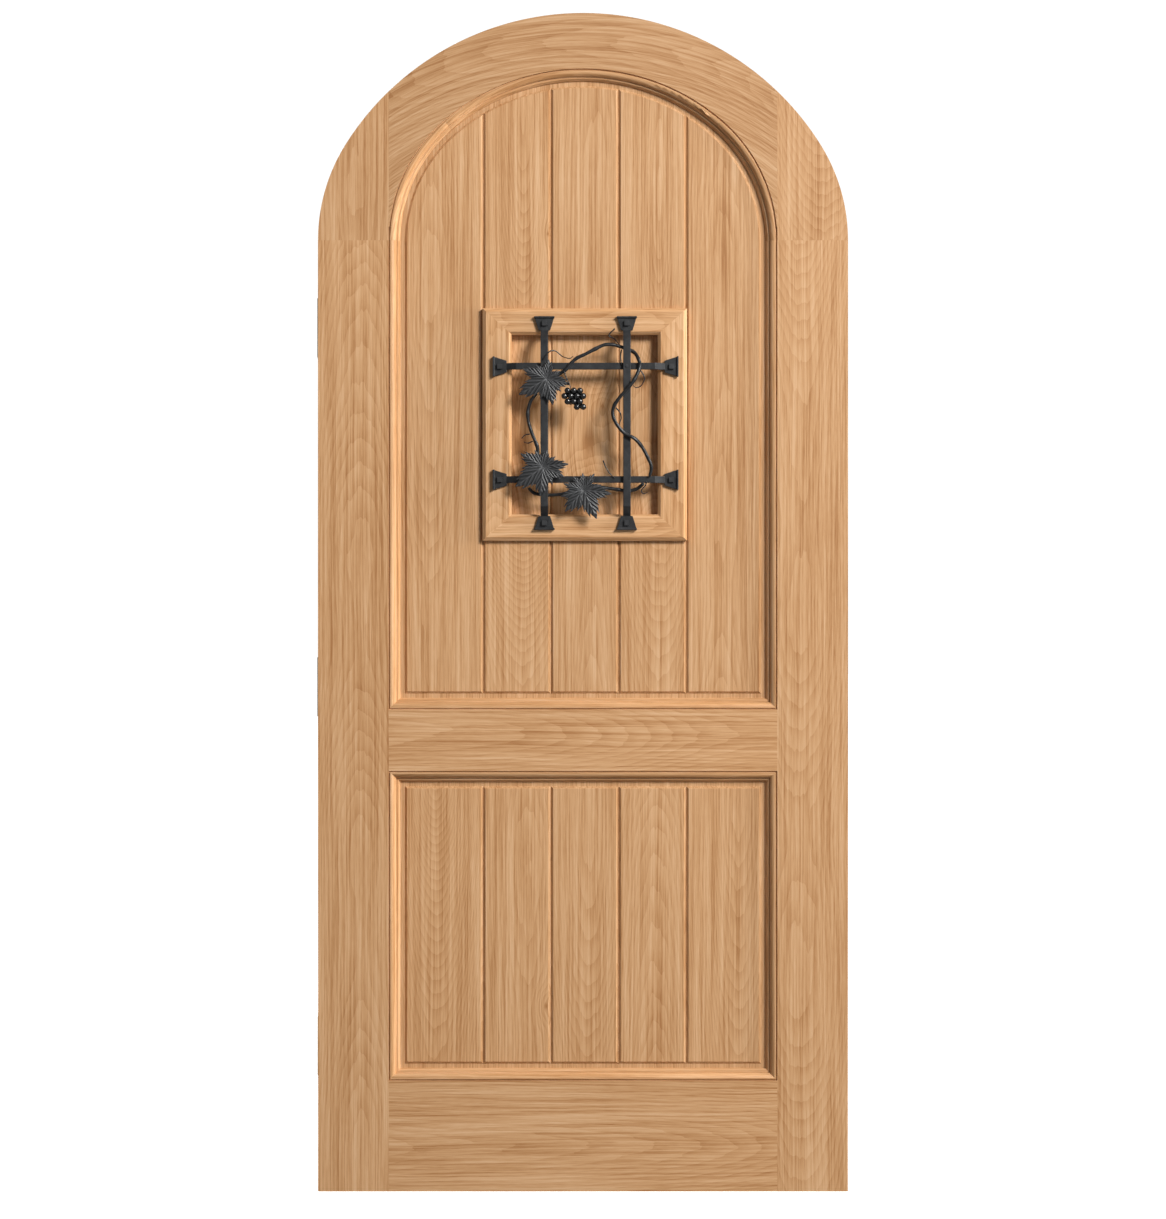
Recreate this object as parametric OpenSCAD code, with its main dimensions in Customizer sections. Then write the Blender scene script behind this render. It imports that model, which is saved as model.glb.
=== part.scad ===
// Round-headed plank-panel door leaf with a grilled window, its hatch and its hinges.
// X runs across the door, Y from the front face to the rear face and Z up.
// The origin is the middle of the leaf's bottom edge, halfway through its thickness.

/* [Leaf] */
// Width of the leaf
door_w = 914; // [860:1:1100]
// Height of the leaf at the crown of its arch
door_h = 2032; // [1980:1:2450]
// Thickness of the stiles and rails
door_t = 44.5; // [42:0.5:56]
// Rise of the outer arch from its springing to its crown
arch_rise = 392; // [370:1:400]
// Radius of the outer arch at its haunches
outer_haunch_r = 311; // [290:1:330]
// Radius of the inner arch at its haunches
inner_haunch_r = 273; // [255:1:280]
// Face width of each stile
stile_w = 122; // [105:1:140]
// Depth of the arched head at its crown
head_w = 96; // [85:1:110]
// Height of the bottom rail
bottom_rail_h = 191; // [150:1:240]
// Height of the lock rail's lower edge
lock_rail_z = 725; // [600:1:800]
// Height of the lock rail itself
lock_rail_h = 106; // [90:1:150]

/* [Plank panels] */
// Thickness of the planks
plank_t = 20; // [18:0.5:24]
// Width that each middle plank covers
plank_pitch = 117; // [105:1:125]
// Planks in each panel
plank_count = 5; // [5:2:5]
// Sideways place of the middle plank
plank_shift = 3; // [-8:0.5:8]
// Size of the chamfers that make the V joints
v_chamfer = 4; // [2:0.5:5]
// Thickness of the tongues
tongue_t = 6; // [4:0.5:7]
// Length of the tongues
tongue_l = 7; // [4:0.5:9]
// Clearance of a tongue in its groove
tongue_gap = 0.15; // [0.1:0.05:0.4]
// Thickness of the planks' thinned rim
rim_t = 12; // [10:0.5:14]
// Width of the thinned rim
rim_w = 27; // [22:0.5:32]
// Movement gap between the planks and the frame
panel_gap = 2; // [1:0.5:4]

/* [Panel moulding] */
// Width of the moulding
mould_w = 19.5; // [17:0.5:22]
// Width of the quirk beside the frame
quirk_w = 2.5; // [1.5:0.5:3]
// Depth of the quirk
quirk_d = 3; // [2:0.5:5]
// Drop of the moulding's top below the frame's face
mould_drop = 0.5; // [0:0.25:2]
// Flat on top of the ovolo
ovolo_flat = 2; // [1:0.5:3]
// Radius of the ovolo
ovolo_r = 8; // [6:0.5:9]
// Width of the fillet below the ovolo
fillet_w = 3.5; // [2:0.5:4]
// Height of the moulding's thin inner edge
mould_edge = 1.5; // [1:0.5:4]

/* [Window] */
// Height of the window's centre
window_z = 1322.5; // [1250:0.5:1350]
// Height of the window's raised frame, outside
window_h = 401; // [360:1:430]
// Width by which the raised frame passes the three middle planks
window_lap = 1; // [0:0.5:3]
// Width of the raised frame's upright members
window_side_w = 50.5; // [46:0.5:56]
// Width of the raised frame's level members
window_rail_w = 45.5; // [42:0.5:50]
// Width of the bevels along the raised frame
bevel_w = 6; // [3:0.5:8]
// Depth of the bevels along the raised frame
bevel_d = 4.5; // [2:0.5:6]
// Wall of the window's lining beside the hatch
lining_t = 10; // [8:0.5:14]
// Width of the stop that the hatch closes on
stop_w = 8; // [5:0.5:10]
// Setback of the hatch's face behind the raised frame's face
recess_d = 20; // [18:0.5:24]

/* [Hatch] */
// Gap around the hatch
hatch_gap = 1.5; // [1:0.5:3]
// Gap between the hatch and its stop
hatch_stop_gap = 0.5; // [0.3:0.1:1]
// Thickness of the hatch's boards
hatch_board_t = 14; // [12:0.5:14]
// Height of each batten on the hatch
batten_h = 50; // [40:1:60]
// Distance between the battens
batten_pitch = 125; // [110:1:130]
// Inset of the battens from the hatch's sides
batten_inset = 0; // [0:1:5]
// Radius of the knob
knob_r = 12; // [9:0.5:15]
// Length of the knob
knob_l = 26; // [20:1:32]
// Distance of the knob from the hatch's free edge
knob_inset = 40; // [30:1:60]

/* [Hatch hardware] */
// Height of each hatch hinge
small_hinge_h = 40; // [34:1:45]
// Width of each leaf of a hatch hinge
small_leaf_w = 26; // [22:1:30]
// Thickness of a hatch hinge's leaves
small_leaf_t = 2; // [1.5:0.1:2.4]
// Outer radius of a hatch hinge's knuckles
small_knuckle_r = 3.5; // [3.2:0.1:4]
// Radius of a hatch hinge's pin
small_pin_r = 1.75; // [1.5:0.05:2]
// Length of the turn button
button_l = 56; // [46:1:64]
// Width of the turn button
button_w = 14; // [10:1:16]
// Thickness of the turn button
button_t = 5; // [4:0.5:7]
// Gap between the turn button and the face it turns over
button_gap = 0.6; // [0.4:0.1:1]
// Distance of the turn button's pivot from the hatch's edge
button_offset = 14; // [13:0.5:16]
// Radius of the small screws' shanks
small_screw_r = 1.6; // [1.4:0.1:2]
// Length of the small screws in the wood
small_screw_l = 8; // [6:0.5:8.5]

/* [Door hinges] */
// Height of each door hinge
hinge_h = 102; // [89:1:114]
// Thickness of a hinge leaf
hinge_t = 2.5; // [2:0.1:3]
// Distance that a hinge leaf reaches in from the rear face
hinge_reach = 35; // [30:0.5:36]
// Gap between the two leaves when the door is shut
hinge_fold_gap = 1; // [0.6:0.1:1.6]
// Distance that the folded hinge stands proud of the door's edge
hinge_proud = 2; // [1.5:0.1:3]
// Outer radius of the knuckles
knuckle_r = 6; // [5.5:0.1:6.5]
// Radius of the hinge pins
pin_r = 3.5; // [3:0.1:3.8]
// Running clearance of a pin in its knuckles
pin_clearance = 0.05; // [0.02:0.01:0.09]
// Gap between the knuckles and the door's rear face
knuckle_gap = 1.5; // [1:0.1:3]
// Gap between neighbouring knuckles
knuckle_space = 0.4; // [0.3:0.1:0.8]
// Radius of the screw holes in the frame's hinge leaves
screw_hole_r = 2.6; // [2.6:0.1:3]
// Radius of the holes for the door's own screws, in its leaves and its stile
door_hole_r = 2.2; // [2:0.1:2.3]
// Distance between screw holes up the leaf
screw_pitch_z = 72; // [56:1:76]
// Distance between screw holes across the leaf
screw_pitch_y = 16; // [12:0.5:18]
// Distance of the middle of the screw holes from the rear face
screw_centre = 18; // [16:0.5:20]
// Length of the hinge screws in the wood
screw_l = 30; // [25:1:40]
// Distance of the top hinge's centre below the springing
top_hinge_drop = 150; // [120:1:250]
// Height of the bottom hinge's centre
bottom_hinge_z = 250; // [180:1:300]

/* [Joinery] */
// Radius of the dowels
dowel_r = 8; // [6:0.5:9]
// Half length of the dowels in the rails
dowel_half = 60; // [45:1:80]
// Half length of the dowels in the arched head
head_dowel_half = 30; // [20:1:32]
// Glue gap round the dowels
dowel_gap = 0.1; // [0.05:0.05:0.3]

/* [Grille] */
// Distance between the upright bars
bar_pitch_x = 142; // [125:1:150]
// Distance between the level bars
bar_pitch_z = 195; // [170:1:210]
// Width of the upright bars
upright_w = 13; // [11:0.5:15]
// Width of the level bars
level_w = 11.5; // [10:0.5:13]
// Thickness of the bars
bar_t = 6; // [5:0.5:7]
// Stand-off of the level bars from the raised frame
bar_standoff = 8; // [6:0.5:12]
// Length of the cranks beside the feet
crank_l = 16; // [12:1:24]
// Length of the feet
foot_l = 24; // [20:0.5:26]
// Inset of the feet from the raised frame's outer edge
foot_inset = 16.5; // [13:0.5:20]
// Width of a foot at its flared end
foot_wide = 35; // [30:0.5:38]
// Width of a foot at its narrow end
foot_narrow = 20; // [18:0.5:24]
// Thickness of the feet
foot_t = 5; // [4:0.5:6]
// Rise of the rolled lip at a foot's flared end
lip_rise = 2.5; // [1:0.5:4]
// Length of the rolled lip
lip_l = 3; // [2:0.5:4]
// Width of the bolts' square heads
bolt_head_w = 8.5; // [7:0.5:10]
// Thickness of the bolts' heads
bolt_head_t = 4; // [3:0.5:5]
// Radius of the bolts' shanks
bolt_r = 3; // [2.5:0.1:3.5]
// Gap between the bolts' ends and the boards behind the raised frame
bolt_end_gap = 1.25; // [1:0.25:3]
// Radius of the rivet's head
rivet_r = 2.6; // [2:0.1:3]

/* [Vine] */
// Radius of the vine's stem
stem_r = 3.3; // [2.5:0.1:3.3]
// Radius of the tendrils
tendril_r = 1.2; // [0.9:0.1:1.4]
// Thickness of the leaves
leaf_t = 1.8; // [1.2:0.1:2.4]
// Droop of the leaves' lobes
leaf_droop = 5; // [2:0.5:8]
// Radius of the grapes
grape_r = 5.2; // [4.5:0.1:5.8]

/* [Hidden] */
$fn = 64;
slack = 1;
half_t = door_t / 2;
half_w = door_w / 2;
spring_z = door_h - arch_rise;
inner_w = half_w - stile_w;
inner_top = door_h - head_w;
upper_z = lock_rail_z + lock_rail_h;
plank_face = plank_t / 2;
rim_face = rim_t / 2;
horn_tip = 1;
horn_z = spring_z + sqrt(pow(inner_haunch_r, 2) - pow(inner_haunch_r - horn_tip, 2));
mould_top = half_t - rim_face - mould_drop;
joint_count = plank_count - 1;

window_x = plank_shift;
window_w = 3 * plank_pitch + 2 * window_lap;
open_w = window_w - 2 * window_side_w;
open_h = window_h - 2 * window_rail_w;
frame_rise = half_t - plank_face;
bolt_l = frame_rise - bolt_end_gap;
rebate_w = open_w + 2 * stop_w;
rebate_h = open_h + 2 * stop_w;
lining_w = rebate_w + 2 * lining_t;
lining_h = rebate_h + 2 * lining_t;
hatch_face = -half_t + recess_d;
hatch_w = rebate_w - 2 * hatch_gap;
hatch_h = rebate_h - 2 * hatch_gap;
hatch_front = hatch_face + hatch_stop_gap;
batten_t = half_t - hatch_front - hatch_board_t;
knob_x = window_x + hatch_w / 2 - knob_inset;
knob_tenon_l = 8;
small_axis_x = window_x - rebate_w / 2 + hatch_gap / 2;
small_axis_y = half_t + small_knuckle_r + 0.1;
small_hole_r = small_screw_r + 0.2;
small_head_r = small_screw_r * 2;
button_x = window_x + hatch_w / 2 + button_offset;

hinge_x = -half_w - hinge_proud + hinge_t + hinge_fold_gap / 2;
hinge_y = half_t + knuckle_gap + knuckle_r;
pin_bore_r = pin_r + pin_clearance;
gain_gap = 0.5;
top_hinge_z = spring_z - top_hinge_drop;
hinge_heights = [top_hinge_z, (top_hinge_z + bottom_hinge_z) / 2, bottom_hinge_z];
knuckle_count = 5;
knuckle_h = hinge_h / knuckle_count;
screw_places = [for (sy = [-1, 1]) for (sz = [-1, 1]) [sy * screw_pitch_y / 2, sz * screw_pitch_z / 2]];
sink_depth = 1.8;
sink_r = screw_hole_r + sink_depth;
door_sink_r = door_hole_r + sink_depth;

grille_x = window_x + 1.5;
grille_z = window_z + 2;
upright_end = window_h / 2 - foot_inset;
level_end = window_w / 2 - foot_inset;
upright_off = bar_standoff + bar_t;
bolt_hole_r = bolt_r + 0.1;
// The vine keeps its shape, and widens with the bars that it climbs on.
vine_kx = bar_pitch_x / 142;
vine_kz = bar_pitch_z / 195;
front_d = upright_off + bar_t;
stem_over_upright = front_d + stem_r + 0.3;
stem_over_level = upright_off + stem_r + 0.3;
stem_behind = upright_off - stem_r - 0.3;
leaf_d = front_d + 0.4;
// Where the stem passes an upright bar on its outer side.
beside = (bar_pitch_x / 2 + upright_w / 2 + stem_r + 0.6) / vine_kx;
low_leaf_d = upright_off + stem_r + 0.2;

oak = "#c99d68";
oak_dark = "#bd8f5b";
iron = "#3b3e41";
nickel = "#b9b5ac";

// A block between two corners.
module block(low, high) {
    translate(low) cube(high - low);
}

// A drawing in X and Z, given thickness from y0 to y1.
module slab(y0, y1) {
    translate([0, y1, 0]) rotate([90, 0, 0]) linear_extrude(y1 - y0) children();
}

// The same thing on the rear face as on the front.
module rear() {
    mirror([0, 1, 0]) children();
}

module mirrored(side) {
    if (side < 0) mirror([1, 0, 0]) children();
    else children();
}

/* Arches: three arcs, two haunches and a crown, that meet without a corner. */

function crown_r(w, rise, r) = (pow(w - r, 2) + rise * rise - r * r) / (2 * (rise - r));
// Height of the crown's centre, measured from the springing, and the angle at which the haunches begin.
function crown_z(w, rise, r) = rise - crown_r(w, rise, r);
function crown_angle(w, rise, r) = atan2(-crown_z(w, rise, r), w - r);

module arch_area(w, top, r, base) {
    rise = top - spring_z;
    zc = crown_z(w, rise, r);
    phi = crown_angle(w, rise, r);
    far = [0, zc] + 2 * (rise - zc) * [cos(phi), sin(phi)];
    translate([0, spring_z]) {
        intersection() {
            translate([0, zc]) circle(rise - zc, $fn = 96);
            polygon([[w - r, 0], far, [0, 2 * rise], [-far[0], far[1]], [r - w, 0]]);
        }
        for (side = [-1, 1]) mirrored(side) intersection() {
            translate([w - r, 0]) circle(r, $fn = 96);
            polygon([[w - r, 0], [far[0] + r, 0], far]);
        }
        translate([-w, base - spring_z]) square([2 * w, spring_z - base]);
    }
}

// A moulding carried round an arch in three lengths. The section's x is its distance in from the arch.
module arch_run(w, top, r) {
    rise = top - spring_z;
    zc = crown_z(w, rise, r);
    phi = crown_angle(w, rise, r);
    butt = 0.015;
    translate([0, 0, spring_z + zc]) rotate([90, 0, 0])
        rotate_extrude(angle = 180 - 2 * phi - 2 * butt, start = phi + butt, $fn = 96)
            translate([rise - zc, 0]) mirror([1, 0, 0]) children();
    for (side = [-1, 1]) mirrored(side) translate([w - r, 0, spring_z]) rotate([90, 0, 0])
        rotate_extrude(angle = phi, start = 0, $fn = 96) translate([r, 0]) mirror([1, 0, 0]) children();
}

module outer_area(base) {
    arch_area(half_w, door_h, outer_haunch_r, base);
}

module inner_area(inset, base) {
    arch_area(inner_w - inset, inner_top - inset, inner_haunch_r - inset, base);
}

/* Frame of the leaf */

// Each dowel: its centre in X and Z, whether it lies level, and its half length.
dowels = concat(
    [for (side = [-1, 1]) for (z = [0.25, 0.75])
        [side * inner_w, lock_rail_z + z * lock_rail_h, true, dowel_half]],
    [for (side = [-1, 1]) for (z = [0.2, 0.5, 0.8]) [side * inner_w, z * bottom_rail_h, true, dowel_half]],
    [for (side = [-1, 1]) for (x = [0.25, 0.75])
        [side * (inner_w + x * stile_w), spring_z, false, dowel_half]],
    [for (side = [-1, 1]) for (rise = [150, 190]) [side * inner_w, spring_z + rise, true, head_dowel_half]]
);

module dowel_set(r, extra) {
    for (d = dowels) translate([d[0], 0, d[1]]) rotate([0, d[2] ? 90 : 0, 0])
        cylinder(h = 2 * (d[3] + extra), r = r, center = true);
}

module hinge_gains() {
    for (z = hinge_heights) {
        block(
            [-half_w - slack, half_t - hinge_reach - gain_gap, z - hinge_h / 2 - gain_gap],
            [hinge_x + hinge_fold_gap / 2 + hinge_t, half_t + slack, z + hinge_h / 2 + gain_gap]
        );
    }
}

module screw_bores(r, l) {
    for (z = hinge_heights) for (p = screw_places)
        translate([hinge_x, half_t - screw_centre + p[0], z + p[1]]) rotate([0, 90, 0])
            cylinder(h = l, r = r);
}

module stile(side) {
    color(oak) difference() {
        mirrored(side) block([inner_w, -half_t, 0], [half_w, half_t, spring_z]);
        dowel_set(dowel_r + dowel_gap, dowel_gap);
        if (side < 0) {
            hinge_gains();
            screw_bores(door_hole_r, screw_l + hinge_t + 2);
        }
    }
}

module haunch(side) {
    color(oak) difference() {
        slab(-half_t, half_t) intersection() {
            outer_area(0);
            mirrored(side) translate([inner_w, spring_z]) square([stile_w + slack, arch_rise]);
        }
        dowel_set(dowel_r + dowel_gap, dowel_gap);
    }
}

module arch_head() {
    color(oak) difference() {
        slab(-half_t, half_t) difference() {
            intersection() {
                outer_area(0);
                translate([-inner_w, horn_z]) square([2 * inner_w, door_h]);
            }
            inner_area(0, 0);
        }
        dowel_set(dowel_r + dowel_gap, dowel_gap);
    }
}

module rail(z, h) {
    color(oak) difference() {
        block([-inner_w, -half_t, z], [inner_w, half_t, z + h]);
        dowel_set(dowel_r + dowel_gap, dowel_gap);
    }
}

module frame_dowels() {
    color(oak_dark) dowel_set(dowel_r, 0);
}

/* Planks */

// X of each V joint, and of the panel's two sides.
plank_edges = concat(
    [-inner_w + panel_gap],
    [for (i = [1:joint_count]) plank_shift + (i - (joint_count + 1) / 2) * plank_pitch],
    [inner_w - panel_gap]
);

function edge_points(x, reach, half) = [
    [x, -plank_face + v_chamfer], [x, -half], [x + reach, -half], [x + reach, half], [x, half],
    [x, plank_face - v_chamfer]
];

// A plank's section in X and Y, with a groove on its left edge and a tongue on its right one.
module plank_section(i) {
    x0 = plank_edges[i];
    x1 = plank_edges[i + 1];
    left = i == 0
        ? [[x0, -plank_face], [x0, plank_face]]
        : concat(
            [[x0 + v_chamfer, -plank_face]],
            edge_points(x0, tongue_l + 2 * tongue_gap, tongue_t / 2 + tongue_gap),
            [[x0 + v_chamfer, plank_face]]
        );
    right = i == joint_count
        ? [[x1, plank_face], [x1, -plank_face]]
        : concat(
            [[x1 - v_chamfer, plank_face]],
            [for (k = [5:-1:0]) edge_points(x1, tongue_l, tongue_t / 2)[k]],
            [[x1 - v_chamfer, -plank_face]]
        );
    polygon(concat(left, right));
}

chamfer_h = plank_face - rim_face;

// The bevelled border of a raised field: rim_w in from the frame at the rim, and further in at the face.
module border_section(reach) {
    polygon([[rim_w, 0], [rim_w + chamfer_h, chamfer_h], [reach, chamfer_h], [reach, 0]]);
}

// Bevelled field between two heights, square at its top where an arch carries it on.
module straight_field(z0, z1, bevel_top) {
    w0 = inner_w - rim_w;
    w1 = w0 - chamfer_h;
    intersection() {
        translate([0, 0, z0]) linear_extrude(z1 - z0) polygon([
            [-w0, -rim_face], [-w1, -plank_face], [w1, -plank_face], [w0, -rim_face]
        ]);
        translate([-half_w, 0, 0]) rotate([90, 0, 90]) linear_extrude(door_w) polygon([
            [-rim_face, z0 + rim_w],
            [-plank_face, z0 + rim_w + chamfer_h],
            [-plank_face, bevel_top ? z1 - rim_w - chamfer_h : z1],
            [-rim_face, bevel_top ? z1 - rim_w : z1]
        ]);
    }
}

module upper_field() {
    rise = inner_top - spring_z;
    zc = crown_z(inner_w, rise, inner_haunch_r);
    phi = crown_angle(inner_w, rise, inner_haunch_r);
    straight_field(upper_z, spring_z, false);
    translate([0, -rim_face, spring_z]) {
        translate([0, 0, zc]) rotate([90, 0, 0])
            rotate_extrude(angle = 180 - 2 * phi, start = phi, $fn = 96)
                translate([rise - zc, 0]) mirror([1, 0, 0]) border_section(rise - zc);
        for (side = [-1, 1]) mirrored(side) translate([inner_w - inner_haunch_r, 0, 0]) rotate([90, 0, 0])
            rotate_extrude(angle = phi, start = 0, $fn = 96)
                translate([inner_haunch_r, 0]) mirror([1, 0, 0]) border_section(inner_haunch_r);
    }
}

module upper_panel() {
    slab(-rim_face, rim_face) inner_area(panel_gap, upper_z + panel_gap);
    upper_field();
    rear() upper_field();
}

module lower_panel() {
    block(
        [-inner_w + panel_gap, -rim_face, bottom_rail_h + panel_gap],
        [inner_w - panel_gap, rim_face, lock_rail_z - panel_gap]
    );
    straight_field(bottom_rail_h, lock_rail_z, true);
    rear() straight_field(bottom_rail_h, lock_rail_z, true);
}

module window_hole() {
    translate([window_x, 0, window_z]) cube([lining_w, door_t, lining_h], center = true);
}

module upper_plank(i) {
    color(oak) difference() {
        intersection() {
            upper_panel();
            linear_extrude(door_h) plank_section(i);
        }
        window_hole();
    }
}

module middle_plank_end(low, high) {
    intersection() {
        upper_plank((plank_count - 1) / 2);
        block([-half_w, -half_t, low], [half_w, half_t, high]);
    }
}

module lower_plank(i) {
    color(oak) intersection() {
        lower_panel();
        linear_extrude(door_h) plank_section(i);
    }
}

/* Panel mouldings */

// Section of the moulding: x runs in from the frame, y out from the planks' rim.
module mould_section() {
    round_x = quirk_w + ovolo_flat;
    round_y = mould_top - ovolo_r;
    fillet_y = round_y - 0.5;
    fillet_x = round_x + ovolo_r;
    polygon([
        [0, 0], [mould_w, 0], [mould_w, mould_edge], [fillet_x + fillet_w, fillet_y], [fillet_x, fillet_y],
        [fillet_x, round_y], [round_x, round_y], [round_x, mould_top], [quirk_w, mould_top],
        [quirk_w, mould_top + mould_drop - quirk_d], [0, mould_top + mould_drop - quirk_d]
    ]);
    intersection() {
        translate([round_x, round_y]) circle(ovolo_r);
        translate([round_x, round_y]) square(2 * ovolo_r);
    }
}

// A section run upright from z0 to z1, reaching in from x towards the middle.
module upright_run(x, y, side, z0, z1) {
    mirrored(-side) translate([-x, y, z0]) linear_extrude(z1 - z0) mirror([0, 1, 0]) children();
}

// A section run level from x0 to x1, reaching up (side 1) or down (side -1) from z.
module level_run(z, y, side, x0, x1) {
    translate([x0, y, z]) rotate([90, 0, 90]) linear_extrude(x1 - x0)
        mirror([0, side < 0 ? 1 : 0, 0]) rotate(90) children();
}

module clip(points) {
    slab(-door_t, door_t) polygon(points);
}

module side_moulding(side, z0, z1, mitre_top) {
    end = mitre_top ? z1 - mould_w : z1;
    color(oak) intersection() {
        upright_run(inner_w, -rim_face, side, z0, z1) mould_section();
        mirrored(side) clip([
            [inner_w + slack, z0 - slack],
            [inner_w - mould_w - slack, z0 + mould_w + slack],
            [inner_w - mould_w - slack, mitre_top ? end - slack : z1],
            [inner_w + slack, mitre_top ? z1 + slack : z1]
        ]);
    }
}

module rail_moulding(z, side) {
    reach = mould_w + slack;
    color(oak) intersection() {
        level_run(z, -rim_face, side, -inner_w, inner_w) mould_section();
        clip([
            [-inner_w - slack, z - side * slack], [inner_w + slack, z - side * slack],
            [inner_w - reach, z + side * reach], [-inner_w + reach, z + side * reach]
        ]);
    }
}

module arch_moulding() {
    color(oak) translate([0, -rim_face, 0]) arch_run(inner_w, inner_top, inner_haunch_r) mould_section();
}

module upper_mouldings() {
    arch_moulding();
    for (side = [-1, 1]) side_moulding(side, upper_z, spring_z, false);
    rail_moulding(upper_z, 1);
}

module lower_mouldings() {
    for (side = [-1, 1]) side_moulding(side, bottom_rail_h, lock_rail_z, true);
    rail_moulding(bottom_rail_h, 1);
    rail_moulding(lock_rail_z, -1);
}

/* Window */

module bevelled_section(w, inner_bevel) {
    polygon([
        [0, 0], [w, 0], [w, frame_rise - (inner_bevel ? bevel_d : 0)],
        [w - (inner_bevel ? bevel_w - 1 : 0), frame_rise], [bevel_w, frame_rise], [0, frame_rise - bevel_d]
    ]);
}

// Mitred members of a frame that lies on the planks, seen as four pieces: top, bottom, left, right.
module frame_member(place, inner_w2, inner_h2, bevelled) {
    ow = window_w / 2;
    oh = window_h / 2;
    iw = inner_w2 / 2;
    ih = inner_h2 / 2;
    upright = place == "left" || place == "right";
    side = place == "left" || place == "bottom" ? -1 : 1;
    corner = upright
        ? [[side * ow, -oh], [side * iw, -ih], [side * iw, ih], [side * ow, oh]]
        : [[-ow, side * oh], [-iw, side * ih], [iw, side * ih], [ow, side * oh]];
    translate([window_x, 0, window_z]) intersection() {
        if (upright) {
            upright_run(ow, -plank_face, side, -oh, oh) bevelled_section(ow - iw, bevelled);
        } else {
            level_run(side * oh, -plank_face, -side, -ow, ow) bevelled_section(oh - ih, bevelled);
        }
        clip(corner);
    }
}

module bolt_places() {
    for (sx = [-1, 1]) for (sz = [-1, 1]) {
        translate([grille_x + sx * bar_pitch_x / 2, -half_t, grille_z + sz * (upright_end - foot_l / 2)])
            children();
        translate([grille_x + sx * (level_end - foot_l / 2), -half_t, grille_z + sz * bar_pitch_z / 2])
            children();
    }
}

module along_y(h, r) {
    rotate([-90, 0, 0]) cylinder(h = h, r = r);
}

module window_frame(place) {
    color(oak) difference() {
        frame_member(place, open_w, open_h, true);
        bolt_places() translate([0, -slack, 0]) along_y(bolt_l + slack + 0.5, bolt_hole_r);
    }
}

// Screws that go into the rear face, each as X, Z: first the hatch's own, then the door's.
small_rows = [for (b = [-1, 1]) for (s = [-1, 1]) window_z + b * batten_pitch + s * small_hinge_h * 0.3];
hatch_screw_places = [for (z = small_rows) [small_axis_x + small_leaf_w * 0.65, z]];
door_screw_places = [for (z = small_rows) [small_axis_x - small_leaf_w * 0.65, z]];

module small_bores(places, r, l) {
    for (p = places) translate([p[0], half_t - l, p[1]]) along_y(l + slack, r);
}

module rear_window_frame() {
    color(oak) difference() {
        rear() for (place = ["left", "right", "top", "bottom"])
            frame_member(place, rebate_w, rebate_h, false);
        small_bores(door_screw_places, small_hole_r, small_screw_l + 0.5);
        small_bores([[button_x, window_z]], small_hole_r, small_screw_l + 0.5);
    }
}

module lining_ring(w0, h0, w1, h1, y0, y1) {
    side_t = (w1 - w0) / 2;
    head_t = (h1 - h0) / 2;
    for (s = [-1, 1]) {
        translate([s * (w0 + side_t) / 2, (y0 + y1) / 2, 0]) cube([side_t, y1 - y0, h1], center = true);
        translate([0, (y0 + y1) / 2, s * (h0 + head_t) / 2]) cube([w0, y1 - y0, head_t], center = true);
    }
}

// Head, sill and two sides, each rebated so that the hatch closes on the step.
module window_lining() {
    color(oak_dark) translate([window_x, 0, window_z]) for (s = [-1, 1]) {
        union() {
            translate([s * (rebate_w + lining_t) / 2, 0, 0])
                cube([lining_t, plank_t, lining_h], center = true);
            translate([s * (rebate_w - stop_w) / 2, (hatch_face - plank_face) / 2, 0])
                cube([stop_w, hatch_face + plank_face, lining_h], center = true);
        }
        union() {
            translate([0, 0, s * (rebate_h + lining_t) / 2]) cube([open_w, plank_t, lining_t], center = true);
            translate([0, (hatch_face - plank_face) / 2, s * (rebate_h - stop_w) / 2])
                cube([open_w, hatch_face + plank_face, stop_w], center = true);
        }
        // The head and the sill pass the stops, up to the sides' faces.
        for (sx = [-1, 1]) translate([
            sx * (rebate_w - stop_w) / 2,
            (plank_face + hatch_face) / 2,
            s * (rebate_h + lining_t) / 2
        ]) cube([stop_w, plank_face - hatch_face, lining_t], center = true);
    }
}

/* Hatch */

// The hatch's boards follow the planks, so that their V joints line up.
module hatch_boards() {
    y0 = hatch_front;
    y1 = hatch_front + hatch_board_t;
    color(oak) translate([window_x, 0, window_z - hatch_h / 2]) linear_extrude(hatch_h) for (i = [-1, 0, 1]) {
        x0 = i < 0 ? -hatch_w / 2 : (i - 0.5) * plank_pitch;
        x1 = i > 0 ? hatch_w / 2 : (i + 0.5) * plank_pitch;
        c0 = i < 0 ? 0 : v_chamfer - 1;
        c1 = i > 0 ? 0 : v_chamfer - 1;
        polygon([[x0 + c0, y0], [x0, y0 + c0], [x0, y1], [x1, y1], [x1, y0 + c1], [x1 - c1, y0]]);
    }
}

module hatch_battens() {
    y0 = hatch_front + hatch_board_t;
    color(oak) difference() {
        for (b = [-1, 0, 1]) translate([window_x, y0 + batten_t / 2, window_z + b * batten_pitch])
            cube([hatch_w - 2 * batten_inset, batten_t, batten_h], center = true);
        small_bores(hatch_screw_places, small_hole_r, small_screw_l + 0.5);
        translate([knob_x, half_t - knob_tenon_l - 0.5, window_z]) along_y(knob_tenon_l + 1.5, 4 + dowel_gap);
    }
}

module hatch_knob() {
    neck_r = knob_r * 0.5;
    color(oak_dark) translate([knob_x, half_t, window_z]) rotate([-90, 0, 0]) {
        translate([0, 0, -knob_tenon_l]) cylinder(h = knob_tenon_l, r = 4);
        rotate_extrude() polygon([
            [0, 0], [knob_r * 0.8, 0], [knob_r * 0.8, 2], [neck_r, 5], [neck_r, knob_l * 0.45],
            [knob_r, knob_l * 0.65], [knob_r, knob_l * 0.85], [knob_r * 0.75, knob_l], [0, knob_l]
        ]);
    }
}

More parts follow.
